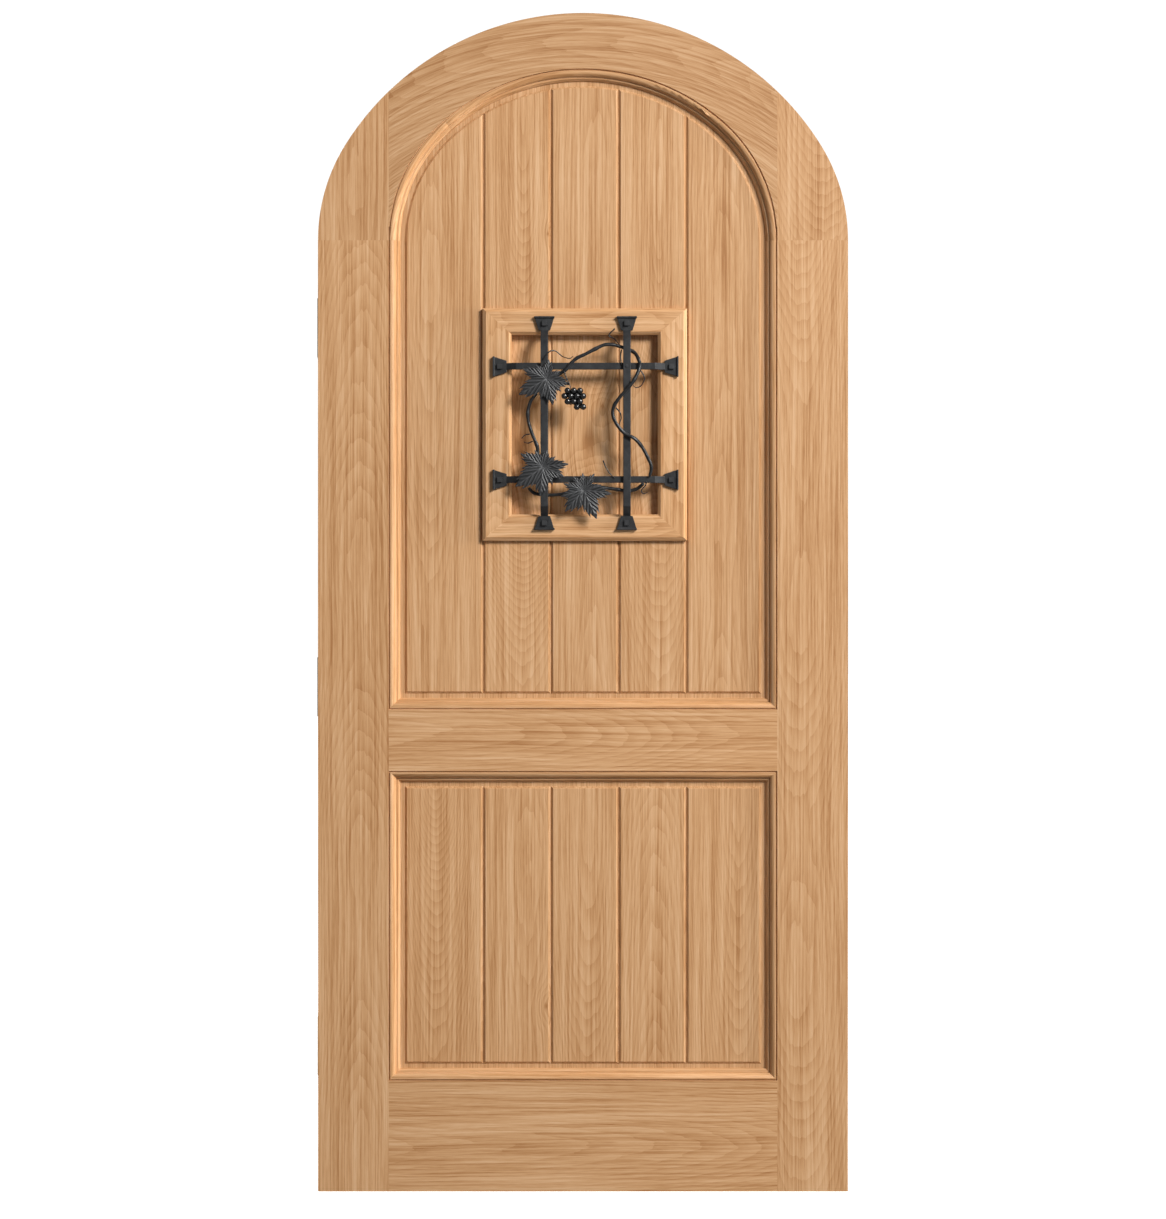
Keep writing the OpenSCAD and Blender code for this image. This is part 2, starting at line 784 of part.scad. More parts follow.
/* Hatch hinges: flat leaves on the rear faces, three knuckles each. */

small_knuckle_h = small_hinge_h / 3;

// The hinge leaf on one side of the joint: side -1 is the fixed leaf, side 1 the hatch's.
module small_leaf(side) {
    own = side < 0 ? [0, 2] : [1];
    other = side < 0 ? [1] : [0, 2];
    places = side < 0 ? door_screw_places : hatch_screw_places;
    for (b = [-1, 1]) difference() {
        union() {
            z0 = window_z + b * batten_pitch - small_hinge_h / 2;
            block(
                [side < 0 ? small_axis_x - small_leaf_w : small_axis_x, half_t, z0],
                [
                    side < 0 ? small_axis_x : small_axis_x + small_leaf_w,
                    half_t + small_leaf_t,
                    z0 + small_hinge_h
                ]
            );
            for (k = own) translate([small_axis_x, small_axis_y, z0 + k * small_knuckle_h])
                cylinder(h = small_knuckle_h - (k == 2 ? 0 : knuckle_space / 2), r = small_knuckle_r);
        }
        translate([small_axis_x, small_axis_y, window_z + b * batten_pitch])
            cylinder(h = small_hinge_h + 2, r = small_pin_r + pin_clearance, center = true);
        for (k = other) {
            translate([
                small_axis_x, small_axis_y,
                window_z + b * batten_pitch - small_hinge_h / 2
                    + k * small_knuckle_h - knuckle_space / 2
            ]) cylinder(h = small_knuckle_h + knuckle_space / 2 + (k == 2 ? 1 : 0), r = small_knuckle_r + 0.4);
        }
        for (p = places) translate([p[0], half_t - slack, p[1]]) along_y(small_leaf_t + 2, small_hole_r);
    }
}

module hatch_hinge_leaves() {
    color(nickel) small_leaf(1);
}

module hatch_fixed_leaves() {
    color(nickel) {
        small_leaf(-1);
        small_screws(door_screw_places, small_leaf_t);
        small_screws([[button_x, window_z]], button_gap + button_t + 0.3);
    }
}

// Round-headed screws whose heads sit at height y above the rear face.
module small_screws(places, y) {
    for (p = places) translate([p[0], half_t, p[1]]) {
        translate([0, -small_screw_l, 0]) along_y(small_screw_l + y, small_screw_r);
        translate([0, y, 0]) along_y(1.6, small_head_r);
    }
}

module hatch_screws() {
    color(nickel) small_screws(hatch_screw_places, small_leaf_t);
}

module hatch_hinge_pins() {
    color(nickel) for (b = [-1, 1]) translate([small_axis_x, small_axis_y, window_z + b * batten_pitch]) {
        cylinder(h = small_hinge_h, r = small_pin_r, center = true);
        for (s = [-1, 1]) translate([0, 0, s * (small_hinge_h / 2 + 0.75)])
            cylinder(h = 1.5, r = small_knuckle_r - 0.5, center = true);
    }
}

module turn_button() {
    arm = button_l / 2 - button_w / 2;
    color(nickel) translate([button_x, half_t + button_gap, window_z]) difference() {
        union() {
            translate([-button_w / 2, 0, -arm]) cube([button_w, button_t, 2 * arm]);
            for (s = [-1, 1]) translate([0, 0, s * arm]) along_y(button_t, button_w / 2);
        }
        translate([0, -slack, 0]) along_y(button_t + 2 * slack, small_screw_r + pin_clearance);
    }
}

/* Door hinges */

// One leaf of a door hinge: side -1 is the frame's, with three knuckles, side 1 the door's, with two.
module hinge_leaf(z, side) {
    own = side < 0 ? [0, 2, 4] : [1, 3];
    other = side < 0 ? [1, 3] : [0, 2, 4];
    x0 = side < 0 ? hinge_x - hinge_fold_gap / 2 - hinge_t : hinge_x + hinge_fold_gap / 2;
    hole_r = side < 0 ? screw_hole_r : door_hole_r;
    difference() {
        union() {
            block([x0, half_t - hinge_reach, z - hinge_h / 2], [x0 + hinge_t, hinge_y, z + hinge_h / 2]);
            for (k = own) translate([
                hinge_x, hinge_y, z - hinge_h / 2 + k * knuckle_h + (k == 0 ? 0 : knuckle_space / 2)
            ]) cylinder(
                h = knuckle_h - (k == 0 || k == 4 ? knuckle_space / 2 : knuckle_space),
                r = knuckle_r
            );
        }
        translate([hinge_x, hinge_y, z]) cylinder(h = hinge_h + 2, r = pin_bore_r, center = true);
        for (k = other) translate([
            hinge_x, hinge_y, z - hinge_h / 2 + k * knuckle_h - (k == 0 ? 1 : knuckle_space / 2)
        ]) cylinder(h = knuckle_h + (k == 0 || k == 4 ? 1 : 0) + knuckle_space / 2, r = knuckle_r + 0.4);
        for (p = screw_places) translate([x0, half_t - screw_centre + p[0], z + p[1]]) {
            translate([-slack, 0, 0]) rotate([0, 90, 0]) cylinder(h = hinge_t + 2 * slack, r = hole_r);
            if (side < 0) {
                translate([hinge_t - sink_depth, 0, 0]) rotate([0, 90, 0])
                    cylinder(h = sink_depth + 0.01, r1 = hole_r, r2 = sink_r);
            } else {
                translate([-0.01, 0, 0]) rotate([0, 90, 0])
                    cylinder(h = sink_depth + 0.01, r1 = door_sink_r, r2 = hole_r);
            }
        }
    }
}

module hinge_door_leaves() {
    color(nickel) for (z = hinge_heights) hinge_leaf(z, 1);
}

module hinge_pins() {
    tip_h = 2.5;
    color(nickel) for (z = hinge_heights) translate([hinge_x, hinge_y, z]) {
        cylinder(h = hinge_h, r = pin_r, center = true);
        for (s = [-1, 1]) translate([0, 0, s * (hinge_h / 2 + tip_h / 2 + 0.2)])
            cylinder(h = tip_h + 0.4, r = knuckle_r - 0.5, center = true);
    }
}

module hinge_screws() {
    inset = 0.4;
    x0 = hinge_x + hinge_fold_gap / 2;
    color(nickel) for (z = hinge_heights) for (p = screw_places)
        translate([x0 + inset, half_t - screw_centre + p[0], z + p[1]]) rotate([0, 90, 0]) {
            cylinder(h = sink_depth - inset, r1 = door_sink_r - inset - 0.1, r2 = door_hole_r - 0.1);
            cylinder(h = hinge_t + screw_l - inset, r = door_hole_r - 0.1);
        }
}

/* Grille */

// Side view of a cranked bar: x along the bar, y out from the raised frame.
module bar_profile(reach, off) {
    knee = reach - crank_l;
    lift = bar_t * 0.35;
    polygon([
        [-reach, 0], [-knee - lift, off], [knee + lift, off], [reach, 0],
        [reach + 2, 0], [reach + 2, foot_t], [reach, foot_t], [knee, off + bar_t],
        [-knee, off + bar_t], [-reach, foot_t], [-reach - 2, foot_t], [-reach - 2, 0]
    ]);
}

// Flared foot from x = 0 at its narrow end, lying on the raised frame, with its lip rolled forward.
module foot() {
    linear_extrude(foot_t) polygon([
        [0, -foot_narrow / 2],
        [foot_l - lip_l, -foot_wide / 2 + 1],
        [foot_l - lip_l, foot_wide / 2 - 1],
        [0, foot_narrow / 2]
    ]);
    translate([foot_l - lip_l, -foot_wide / 2, 0]) cube([lip_l, foot_wide, foot_t + lip_rise]);
}

// A bar along X with its two feet, its back to the plane z = 0, ends at +-end.
module bar(end, w, off) {
    reach = end - foot_l;
    difference() {
        union() {
            rotate([90, 0, 0]) translate([0, 0, -w / 2]) linear_extrude(w) bar_profile(reach, off);
            translate([reach, 0, 0]) foot();
            mirror([1, 0, 0]) translate([reach, 0, 0]) foot();
        }
        for (s = [-1, 1]) translate([s * (end - foot_l / 2), 0, -slack])
            cylinder(h = foot_t + 2 * slack, r = bolt_hole_r);
    }
}

module grille_upright(side) {
    color(iron) translate([grille_x + side * bar_pitch_x / 2, -half_t, grille_z]) rotate([90, 90, 0])
        bar(upright_end, upright_w, upright_off);
}

module grille_level(side) {
    color(iron) translate([grille_x, -half_t, grille_z + side * bar_pitch_z / 2]) rotate([90, 0, 0])
        bar(level_end, level_w, bar_standoff);
}

module grille_fixings() {
    color(iron) {
        bolt_places() {
            translate([-bolt_head_w / 2, -foot_t - bolt_head_t, -bolt_head_w / 2])
                cube([bolt_head_w, bolt_head_t, bolt_head_w]);
            translate([0, -foot_t - 0.5, 0]) along_y(foot_t + 0.5 + bolt_l, bolt_r);
        }
        translate([grille_x + bar_pitch_x / 2, -half_t - front_d - 1.2, grille_z + bar_pitch_z / 2])
            along_y(1.2, rivet_r);
    }
}

/* Vine: routes are in the grille's own X, stand-off and Z. */

function unit(v) = v / norm(v);
function blend4(a, b, c, d, t) =
    0.5 * (2 * b + (c - a) * t + (2 * a - 5 * b + 4 * c - d) * t * t + (3 * b - a - 3 * c + d) * t * t * t);
function smoothed(p, steps) = concat(
    [for (i = [0:len(p) - 2]) for (j = [0:steps - 1])
        blend4(p[max(i - 1, 0)], p[i], p[i + 1], p[min(i + 2, len(p) - 1)], j / steps)],
    [p[len(p) - 1]]
);
function placed(p) = [grille_x + p[0] * vine_kx, -half_t - p[1], grille_z + p[2] * vine_kz];
function heading(p, i) = unit(p[min(i + 1, len(p) - 1)] - p[max(i - 1, 0)]);
function ring(p, i, r, sides) =
    let (t = heading(p, i), a = unit(cross(t, [0, 1, 0])), b = cross(a, t))
    [for (j = [0:sides - 1]) p[i] + r * (cos(360 * j / sides) * a + sin(360 * j / sides) * b)];

// A round rod swept along a route, thinning to taper times its radius at its far end.
module rod(route, r, sides, steps, taper) {
    p = smoothed([for (q = route) placed(q)], steps);
    n = len(p);
    points = [for (i = [0:n - 1]) each ring(p, i, r * (1 + (taper - 1) * i / (n - 1)), sides)];
    wall = [for (i = [0:n - 2]) for (j = [0:sides - 1])
        let (a = i * sides + j, b = i * sides + (j + 1) % sides)
        each [[a, b, b + sides], [a, b + sides, a + sides]]];
    near_end = [for (j = [sides - 1:-1:0]) j];
    far_end = [for (j = [0:sides - 1]) (n - 1) * sides + j];
    polyhedron(points, concat([near_end], wall, [far_end]));
}

up = stem_over_upright;
lv = stem_over_level;
bk = stem_behind;

stem_routes = [
    // From the right end of the lower bar, up over the right upright twice, behind it and to the top leaf.
    [
        [110, lv, -92], [113, lv, -76], [107, lv, -60], [97, 19, -42], [84, up, -28],
        [66, up, -18], [54, up, -4], [47, 21, 12], [48, 21, 26], [56, up, 40],
        [68, up, 54], [80, up, 68], [89, 21, 84], [93, lv, 98], [91, lv, 109],
        [84, bk, 121], [72, bk, 127], [60, bk, 131], [48, 12, 134], [33, 14, 134],
        [17, 16, 127], [0, lv, 118], [-15, lv, 111], [-25, lv, 102], [-33, lv, 92],
        [-44, 16, 84], [-55, 15.5, 78]
    ],
    // From under the top leaf, down the left side to the left leaf.
    [
        [-84, 14, 50], [-94, 14, 38], [-99, 14, 22], [-99, 14, 6],
        [-95, 14, -10], [-89, 14, -26], [-beside - 1.6, 14.5, -42], [-beside, 16, -62]
    ],
    // From the left leaf under the left upright to the bottom leaf and on to the lower bar's right end.
    [
        [-98, 13, -112], [-88, bk, -121], [-70, bk, -124], [-54, 11, -124], [-38, 13, -122],
        [-20, 14, -118], [4, 14, -112], [24, 14, -111], [42, 12, -113], [58, bk, -115],
        [72, bk, -117], [88, 11.2, -113.5], [99, 18.6, -105]
    ]
];

module vine_stem() {
    color(iron) for (route = stem_routes) rod(route, stem_r, 8, 2, 1);
}

tendril_routes = [
    [[-73, 21.6, 108], [-63, 21.8, 121], [-52, 18, 123], [-40, 16, 114], [-28, 20, 110], [-22, 22.5, 113]],
    [[50, 8, 162], [40, 8, 151], [49, 8, 145], [57, 10.5, 136]],
    [[94.5, 22.8, 89], [101, 22, 76], [95, 21, 63], [86, 22, 60], [82, 27.5, 63]],
    [[51.8, 22.4, 25], [59, 23, 17], [61, 21.6, 8], [59.5, 21.6, 2], [58.4, 22.2, -2.5]],
    [[104.4, 19, -101.4], [102.3, 18, -108.8], [96, 17, -116], [99, 17, -122], [106, 17, -120]],
    [[30, 16, -65], [35, 15.6, -77], [43, 15.4, -89], [50, 15.6, -95]],
    [[62, 10, 126], [60, 13, 116], [61, 15.6, 104], [63.2, 15.6, 96]],
    [[-96.2, 14, -19.5], [-104, 14, -21], [-110, 14, -27]],
    [[-91, 14, -31.6], [-99, 14, -35], [-106, 13, -33]],
    [[-37, 22.4, 88], [-33, 25, 76], [-27.6, 26.5, 65], [-25.65, 28, 57.2]]
];

module vine_tendrils() {
    color(iron) for (route = tendril_routes) rod(route, tendril_r, 6, 3, 0.6);
}

// Reach of a leaf's edge at angle a: the longest lobe there, or the web between lobes, with a toothed edge.
function lobe_reach(lobes, web, a) =
    let (
        reach = [for (l = lobes)
            let (turn = abs((a - l[0] + 540) % 360 - 180))
            turn < 34 ? l[1] * pow(cos(turn * 90 / 34), 0.55) : 0]
    ) max(web, max(reach)) + 1.6 * cos(a * 24);

// A thin leaf round its stalk: hollow at the middle, bowed forward, then drooping at its lobes.
module vine_leaf(x, z, d, lobes) {
    web = 20;
    count = 96;
    rings = [0.25, 0.55, 0.8, 1];
    function rise(t) = leaf_droop * (4 * t - 4 * t * t) / 2 + 2 * t;
    function at(t, a, face) =
        placed([x, d + face + rise(t), z]) + t * lobe_reach(lobes, web, a) * [cos(a), 0, sin(a)];
    skin = function (face) concat(
        [placed([x, d + face, z])],
        [for (t = rings) for (k = [0:count - 1]) at(t, 360 * k / count, face)]
    );
    n = 1 + len(rings) * count;
    fan = [for (k = [0:count - 1]) [0, 1 + k, 1 + (k + 1) % count]];
    bands = [for (r = [0:len(rings) - 2]) for (k = [0:count - 1])
        let (a = 1 + r * count + k, b = 1 + r * count + (k + 1) % count)
        each [[a, a + count, b + count], [a, b + count, b]]];
    front = concat(fan, bands);
    back = [for (f = front) [f[0] + n, f[2] + n, f[1] + n]];
    last = 1 + (len(rings) - 1) * count;
    edge = [for (k = [0:count - 1])
        let (a = last + k, b = last + (k + 1) % count)
        each [[a, a + n, b + n], [a, b + n, b]]];
    color(iron) polyhedron(concat(skin(leaf_t), skin(0)), concat(front, back, edge));
}

top_lobes = [[85, 32], [143, 37], [168, 48], [210, 55], [280, 46], [340, 40], [40, 24]];
left_lobes = [[78, 29], [140, 43], [160, 46], [216, 58], [262, 54], [310, 34], [340, 42], [4, 42]];
bottom_lobes = [
    [92, 28], [55, 34], [20, 30], [352, 48], [295, 54], [262, 40], [233, 49], [198, 40], [165, 35]
];

// The bunch: a front layer of close-packed rows that hangs to one side, and a second layer behind it.
// A row starts at first, drop rows below the top one, and stands out from the frame.
grape_pitch = 2 * grape_r + 0.3;

function grape_row(first, drop, out, count) =
    [for (i = [0:count - 1]) [first + i * grape_pitch, out, 54 - drop * grape_pitch * 0.866]];

front_out = 29;
back_out = front_out - grape_pitch * 0.8165;
first_x = -31;
grapes = concat(
    grape_row(first_x, 0, front_out, 3),
    grape_row(first_x - grape_pitch / 2, 1, front_out, 4),
    grape_row(first_x, 2, front_out, 3),
    grape_row(first_x + 1.5 * grape_pitch, 3, front_out, 2),
    grape_row(first_x + grape_pitch / 2, 1 / 3, back_out, 2),
    grape_row(first_x + grape_pitch, 4 / 3, back_out, 2),
    grape_row(first_x + 1.5 * grape_pitch, 7 / 3, back_out, 1)
);

module grape_cluster() {
    top = placed([-30, 0, 54]);
    color(iron) for (g = grapes) translate(top + [g[0] + 30, -g[1], g[2] - 54]) sphere(grape_r, $fn = 32);
}

color(nickel) hinge_leaf(hinge_heights[0], -1);  // hinge_frame_leaf_top
color(nickel) hinge_leaf(hinge_heights[1], -1);  // hinge_frame_leaf_middle
color(nickel) hinge_leaf(hinge_heights[2], -1);  // hinge_frame_leaf_bottom
stile(-1);  // left_stile
stile(1);  // right_stile
haunch(-1);  // left_haunch
haunch(1);  // right_haunch
arch_head();
rail(lock_rail_z, lock_rail_h);  // lock_rail
rail(0, bottom_rail_h);  // bottom_rail
frame_dowels();
upper_plank(0);  // upper_plank_1
upper_plank(1);  // upper_plank_2
middle_plank_end(window_z, door_h);  // upper_plank_3_top
middle_plank_end(0, window_z);  // upper_plank_3_bottom
upper_plank(3);  // upper_plank_4
upper_plank(4);  // upper_plank_5
lower_plank(0);  // lower_plank_1
lower_plank(1);  // lower_plank_2
lower_plank(2);  // lower_plank_3
lower_plank(3);  // lower_plank_4
lower_plank(4);  // lower_plank_5
arch_moulding();
side_moulding(-1, upper_z, spring_z, false);  // upper_left_moulding
side_moulding(1, upper_z, spring_z, false);  // upper_right_moulding
rail_moulding(upper_z, 1);  // upper_bottom_moulding
side_moulding(-1, bottom_rail_h, lock_rail_z, true);  // lower_left_moulding
side_moulding(1, bottom_rail_h, lock_rail_z, true);  // lower_right_moulding
rail_moulding(lock_rail_z, -1);  // lower_top_moulding
rail_moulding(bottom_rail_h, 1);  // lower_bottom_moulding
rear() upper_mouldings();  // rear_upper_mouldings
rear() lower_mouldings();  // rear_lower_mouldings
window_frame("top");  // window_frame_top
window_frame("bottom");  // window_frame_bottom
window_frame("left");  // window_frame_left
window_frame("right");  // window_frame_right
rear_window_frame();
window_lining();
hinge_door_leaves();
hinge_pins();
hinge_screws();
grille_upright(-1);  // grille_upright_left
grille_upright(1);  // grille_upright_right
grille_level(1);  // grille_level_top
grille_level(-1);  // grille_level_bottom
grille_fixings();
vine_stem();
vine_tendrils();
vine_leaf(-66.5, 75, leaf_d, top_lobes);  // vine_leaf_top
vine_leaf(-73, -76, leaf_d, left_lobes);  // vine_leaf_left
vine_leaf(-4, -116, low_leaf_d, bottom_lobes);  // vine_leaf_bottom
grape_cluster();
hatch_boards();
hatch_battens();
hatch_knob();
hatch_hinge_leaves();
hatch_screws();
hatch_fixed_leaves();
hatch_hinge_pins();
turn_button();
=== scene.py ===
import math
import random

import bmesh
import bpy
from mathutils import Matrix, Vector


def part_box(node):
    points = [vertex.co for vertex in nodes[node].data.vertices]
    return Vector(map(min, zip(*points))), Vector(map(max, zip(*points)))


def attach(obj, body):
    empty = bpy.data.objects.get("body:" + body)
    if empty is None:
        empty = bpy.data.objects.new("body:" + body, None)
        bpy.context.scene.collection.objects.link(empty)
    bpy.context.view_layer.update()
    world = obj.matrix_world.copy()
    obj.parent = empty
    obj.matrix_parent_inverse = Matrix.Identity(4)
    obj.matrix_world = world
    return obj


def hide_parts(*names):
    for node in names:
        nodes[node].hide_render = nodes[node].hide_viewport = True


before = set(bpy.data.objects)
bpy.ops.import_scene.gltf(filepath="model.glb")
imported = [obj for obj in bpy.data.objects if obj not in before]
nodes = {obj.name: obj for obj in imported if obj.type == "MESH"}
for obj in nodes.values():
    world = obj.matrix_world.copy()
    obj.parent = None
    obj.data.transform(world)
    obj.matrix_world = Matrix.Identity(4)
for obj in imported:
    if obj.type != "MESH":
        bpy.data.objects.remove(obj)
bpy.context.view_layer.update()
scene = bpy.context.scene
MM = 0.001

# ---------------------------------------------------------------- sizes read from the model

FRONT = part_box("left_stile")[0].y
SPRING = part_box("left_stile")[1].z
INNER = -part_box("left_stile")[1].x
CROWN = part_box("arch_moulding")[1].z
ARCH_Z = CROWN - INNER
W_LOW, W_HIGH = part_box("window_frame_left")[0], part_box("window_frame_right")[1]
WINDOW = (W_LOW + W_HIGH) / 2
LEFT_BAR, RIGHT_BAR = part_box("grille_upright_left"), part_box("grille_upright_right")
GRILLE = Vector((
    (LEFT_BAR[0].x + RIGHT_BAR[1].x) / 2, FRONT, (LEFT_BAR[0].z + LEFT_BAR[1].z) / 2
))
TONGUE = 7 * MM
PITCH = (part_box("upper_plank_3_top")[1].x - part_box("upper_plank_3_top")[0].x) - TONGUE
# The radius of the head's bowed grain, in metres.
BOW_R = 0.62


def at(x, out, z):
    """A point in the grille's own X, stand-off from the front face and Z, all in mm."""
    return Vector((GRILLE.x + x * MM, GRILLE.y - out * MM, GRILLE.z + z * MM))


# ---------------------------------------------------------------- node graphs


class Graph:
    """A material's nodes, added with one call each."""

    def __init__(self, name):
        self.material = bpy.data.materials.new(name)
        self.material.use_nodes = True
        self.tree = self.material.node_tree
        self.tree.nodes.clear()
        self.shader = self.tree.nodes.new("ShaderNodeBsdfPrincipled")
        output = self.tree.nodes.new("ShaderNodeOutputMaterial")
        self.tree.links.new(self.shader.outputs[0], output.inputs[0])

    def feed(self, socket, value):
        if isinstance(value, bpy.types.NodeSocket):
            self.tree.links.new(value, socket)
        else:
            socket.default_value = value

    def math(self, operation, *values, clamp=False):
        node = self.tree.nodes.new("ShaderNodeMath")
        node.operation = operation
        node.use_clamp = clamp
        for socket, value in zip(node.inputs, values):
            self.feed(socket, value)
        return node.outputs[0]

    def total(self, *terms):
        result = terms[0]
        for term in terms[1:]:
            result = self.math("ADD", result, term)
        return result

    def times(self, a, b):
        return self.math("MULTIPLY", a, b)

    def minus(self, a, b):
        return self.math("SUBTRACT", a, b)

    def length(self, a, b):
        """How long a line is that goes a one way and b square to it."""
        return self.math("SQRT", self.total(self.times(a, a), self.times(b, b)))

    def vector(self, x, y, z):
        node = self.tree.nodes.new("ShaderNodeCombineXYZ")
        for socket, value in zip(node.inputs, (x, y, z)):
            self.feed(socket, value)
        return node.outputs[0]

    def place(self):
        coordinates = self.tree.nodes.new("ShaderNodeTexCoord")
        node = self.tree.nodes.new("ShaderNodeSeparateXYZ")
        self.tree.links.new(coordinates.outputs["Object"], node.inputs[0])
        return node.outputs[0], node.outputs[1], node.outputs[2]

    def noise(self, vector, scale=1.0, detail=2.0, roughness=0.5):
        node = self.tree.nodes.new("ShaderNodeTexNoise")
        self.feed(node.inputs["Vector"], vector)
        node.inputs["Scale"].default_value = scale
        node.inputs["Detail"].default_value = detail
        node.inputs["Roughness"].default_value = roughness
        return node.outputs[0]

    def ramp(self, factor, stops):
        node = self.tree.nodes.new("ShaderNodeValToRGB")
        ramp = node.color_ramp
        while len(ramp.elements) < len(stops):
            ramp.elements.new(0.5)
        for element, (where, colour) in zip(ramp.elements, stops):
            element.position = where
            element.color = (*colour, 1)
        self.feed(node.inputs[0], factor)
        return node.outputs[0]

    def span(self, value, low, high, out_low=0.0, out_high=1.0):
        node = self.tree.nodes.new("ShaderNodeMapRange")
        for socket, v in zip(node.inputs, (value, low, high, out_low, out_high)):
            self.feed(socket, v)
        return node.outputs[0]

    def mix(self, factor, a, b):
        node = self.tree.nodes.new("ShaderNodeMix")
        node.data_type = "RGBA"
        self.feed(node.inputs[0], factor)
        self.feed(node.inputs[6], a)
        self.feed(node.inputs[7], b)
        return node.outputs[2]

    def choose(self, switch, a, b):
        """b where switch is 1, a where it is 0."""
        return self.total(a, self.times(switch, self.minus(b, a)))

    def bump(self, height, distance, strength=1.0):
        node = self.tree.nodes.new("ShaderNodeBump")
        node.inputs["Strength"].default_value = strength
        node.inputs["Distance"].default_value = distance
        self.feed(node.inputs["Height"], height)
        self.tree.links.new(node.outputs[0], self.shader.inputs["Normal"])


def linear(*levels):
    """A colour for a shader, from its three levels of 255 on a screen."""
    shares = [level / 255 for level in levels]
    return tuple(c / 12.92 if c <= 0.04045 else ((c + 0.055) / 1.055) ** 2.4 for c in shares)


# Where each of the oak's colours lies between its darkest and its lightest.
OAK_COLOURS = [
    (0.0, linear(172, 120, 73)),
    (0.32, linear(194, 145, 98)),
    (0.6, linear(209, 162, 116)),
    (1.0, linear(224, 182, 140)),
]
# Each noise in the oak: how many in a metre across and along the grain, its offset, detail and roughness.
OAK_NOISE = {
    "bend": (3.0, 1.2, 0.0, 2.0, 0.5),
    "ripple": (14.0, 5.0, 5.0, 2.0, 0.6),
    "lean": (0.5, 1.3, 9.0, 1.0, 0.5),
    "ragged": (60.0, 4.0, 13.0, 2.0, 0.6),
    "band": (75.0, 1.8, 17.0, 3.0, 0.6),
    "streak": (330.0, 4.0, 21.0, 3.0, 0.6),
    "fibre": (900.0, 34.0, 25.0, 2.0, 0.65),
    "patch": (16.0, 3.0, 29.0, 3.0, 0.55),
    "pore": (700.0, 26.0, 33.0, 2.0, 0.6),
}
# How much each part of the grain lightens the wood, on the scale of its colours.
OAK_VALUE = 0.60
LIGHTER = {"band": 0.9, "streak": 1.8, "fibre": 0.8, "patch": 0.45, "early": -0.22, "pore": -0.16, "knot": -0.8}
# How far the fibres wander and the log's middle leans, in metres.
BEND, RIPPLE, LEAN = 0.012, 0.0035, 0.10
# How ragged the rings are, in rings.
RAGGED = 1.1
# A knot's swirl and core as shares of its size, how far it pushes the rings, and its width against its length.
SWIRL, CORE, PUSH, KNOT_STRETCH = 3.2, 0.55, 1.6, 0.6
SEED_STEP = 3.7


def grain_ways(g, grain, x, z):
    """How far a point lies along the grain and across it. grain is x, z, bow for a head whose grain bends with
    it, arch for a moulding bent round the panel, or (x, z, half width, half height) of a mitred frame's opening,
    with True after it where an arch carries the frame on."""
    if grain == "x":
        return x, z
    if grain == "z":
        return z, x
    if grain == "bow":
        rise = g.minus(z, CROWN - BOW_R)
        return g.times(g.math("ARCTAN2", x, rise), BOW_R), g.length(x, rise)
    rise = g.minus(z, ARCH_Z)
    round_along = g.times(g.math("ARCTAN2", x, rise), INNER)
    round_across = g.length(x, rise)
    if grain == "arch":
        return round_along, round_across
    middle_x, middle_z, half_w, half_h = grain[:4]
    beside = g.minus(g.math("ABSOLUTE", g.minus(x, middle_x)), half_w)
    above = g.minus(g.math("ABSOLUTE", g.minus(z, middle_z)), half_h)
    upright = g.math("GREATER_THAN", beside, above)
    along, across = g.choose(upright, x, z), g.choose(upright, z, x)
    if len(grain) > 4:
        arched = g.math("GREATER_THAN", z, SPRING)
        along, across = g.choose(arched, along, round_along), g.choose(arched, across, round_across)
    return along, across


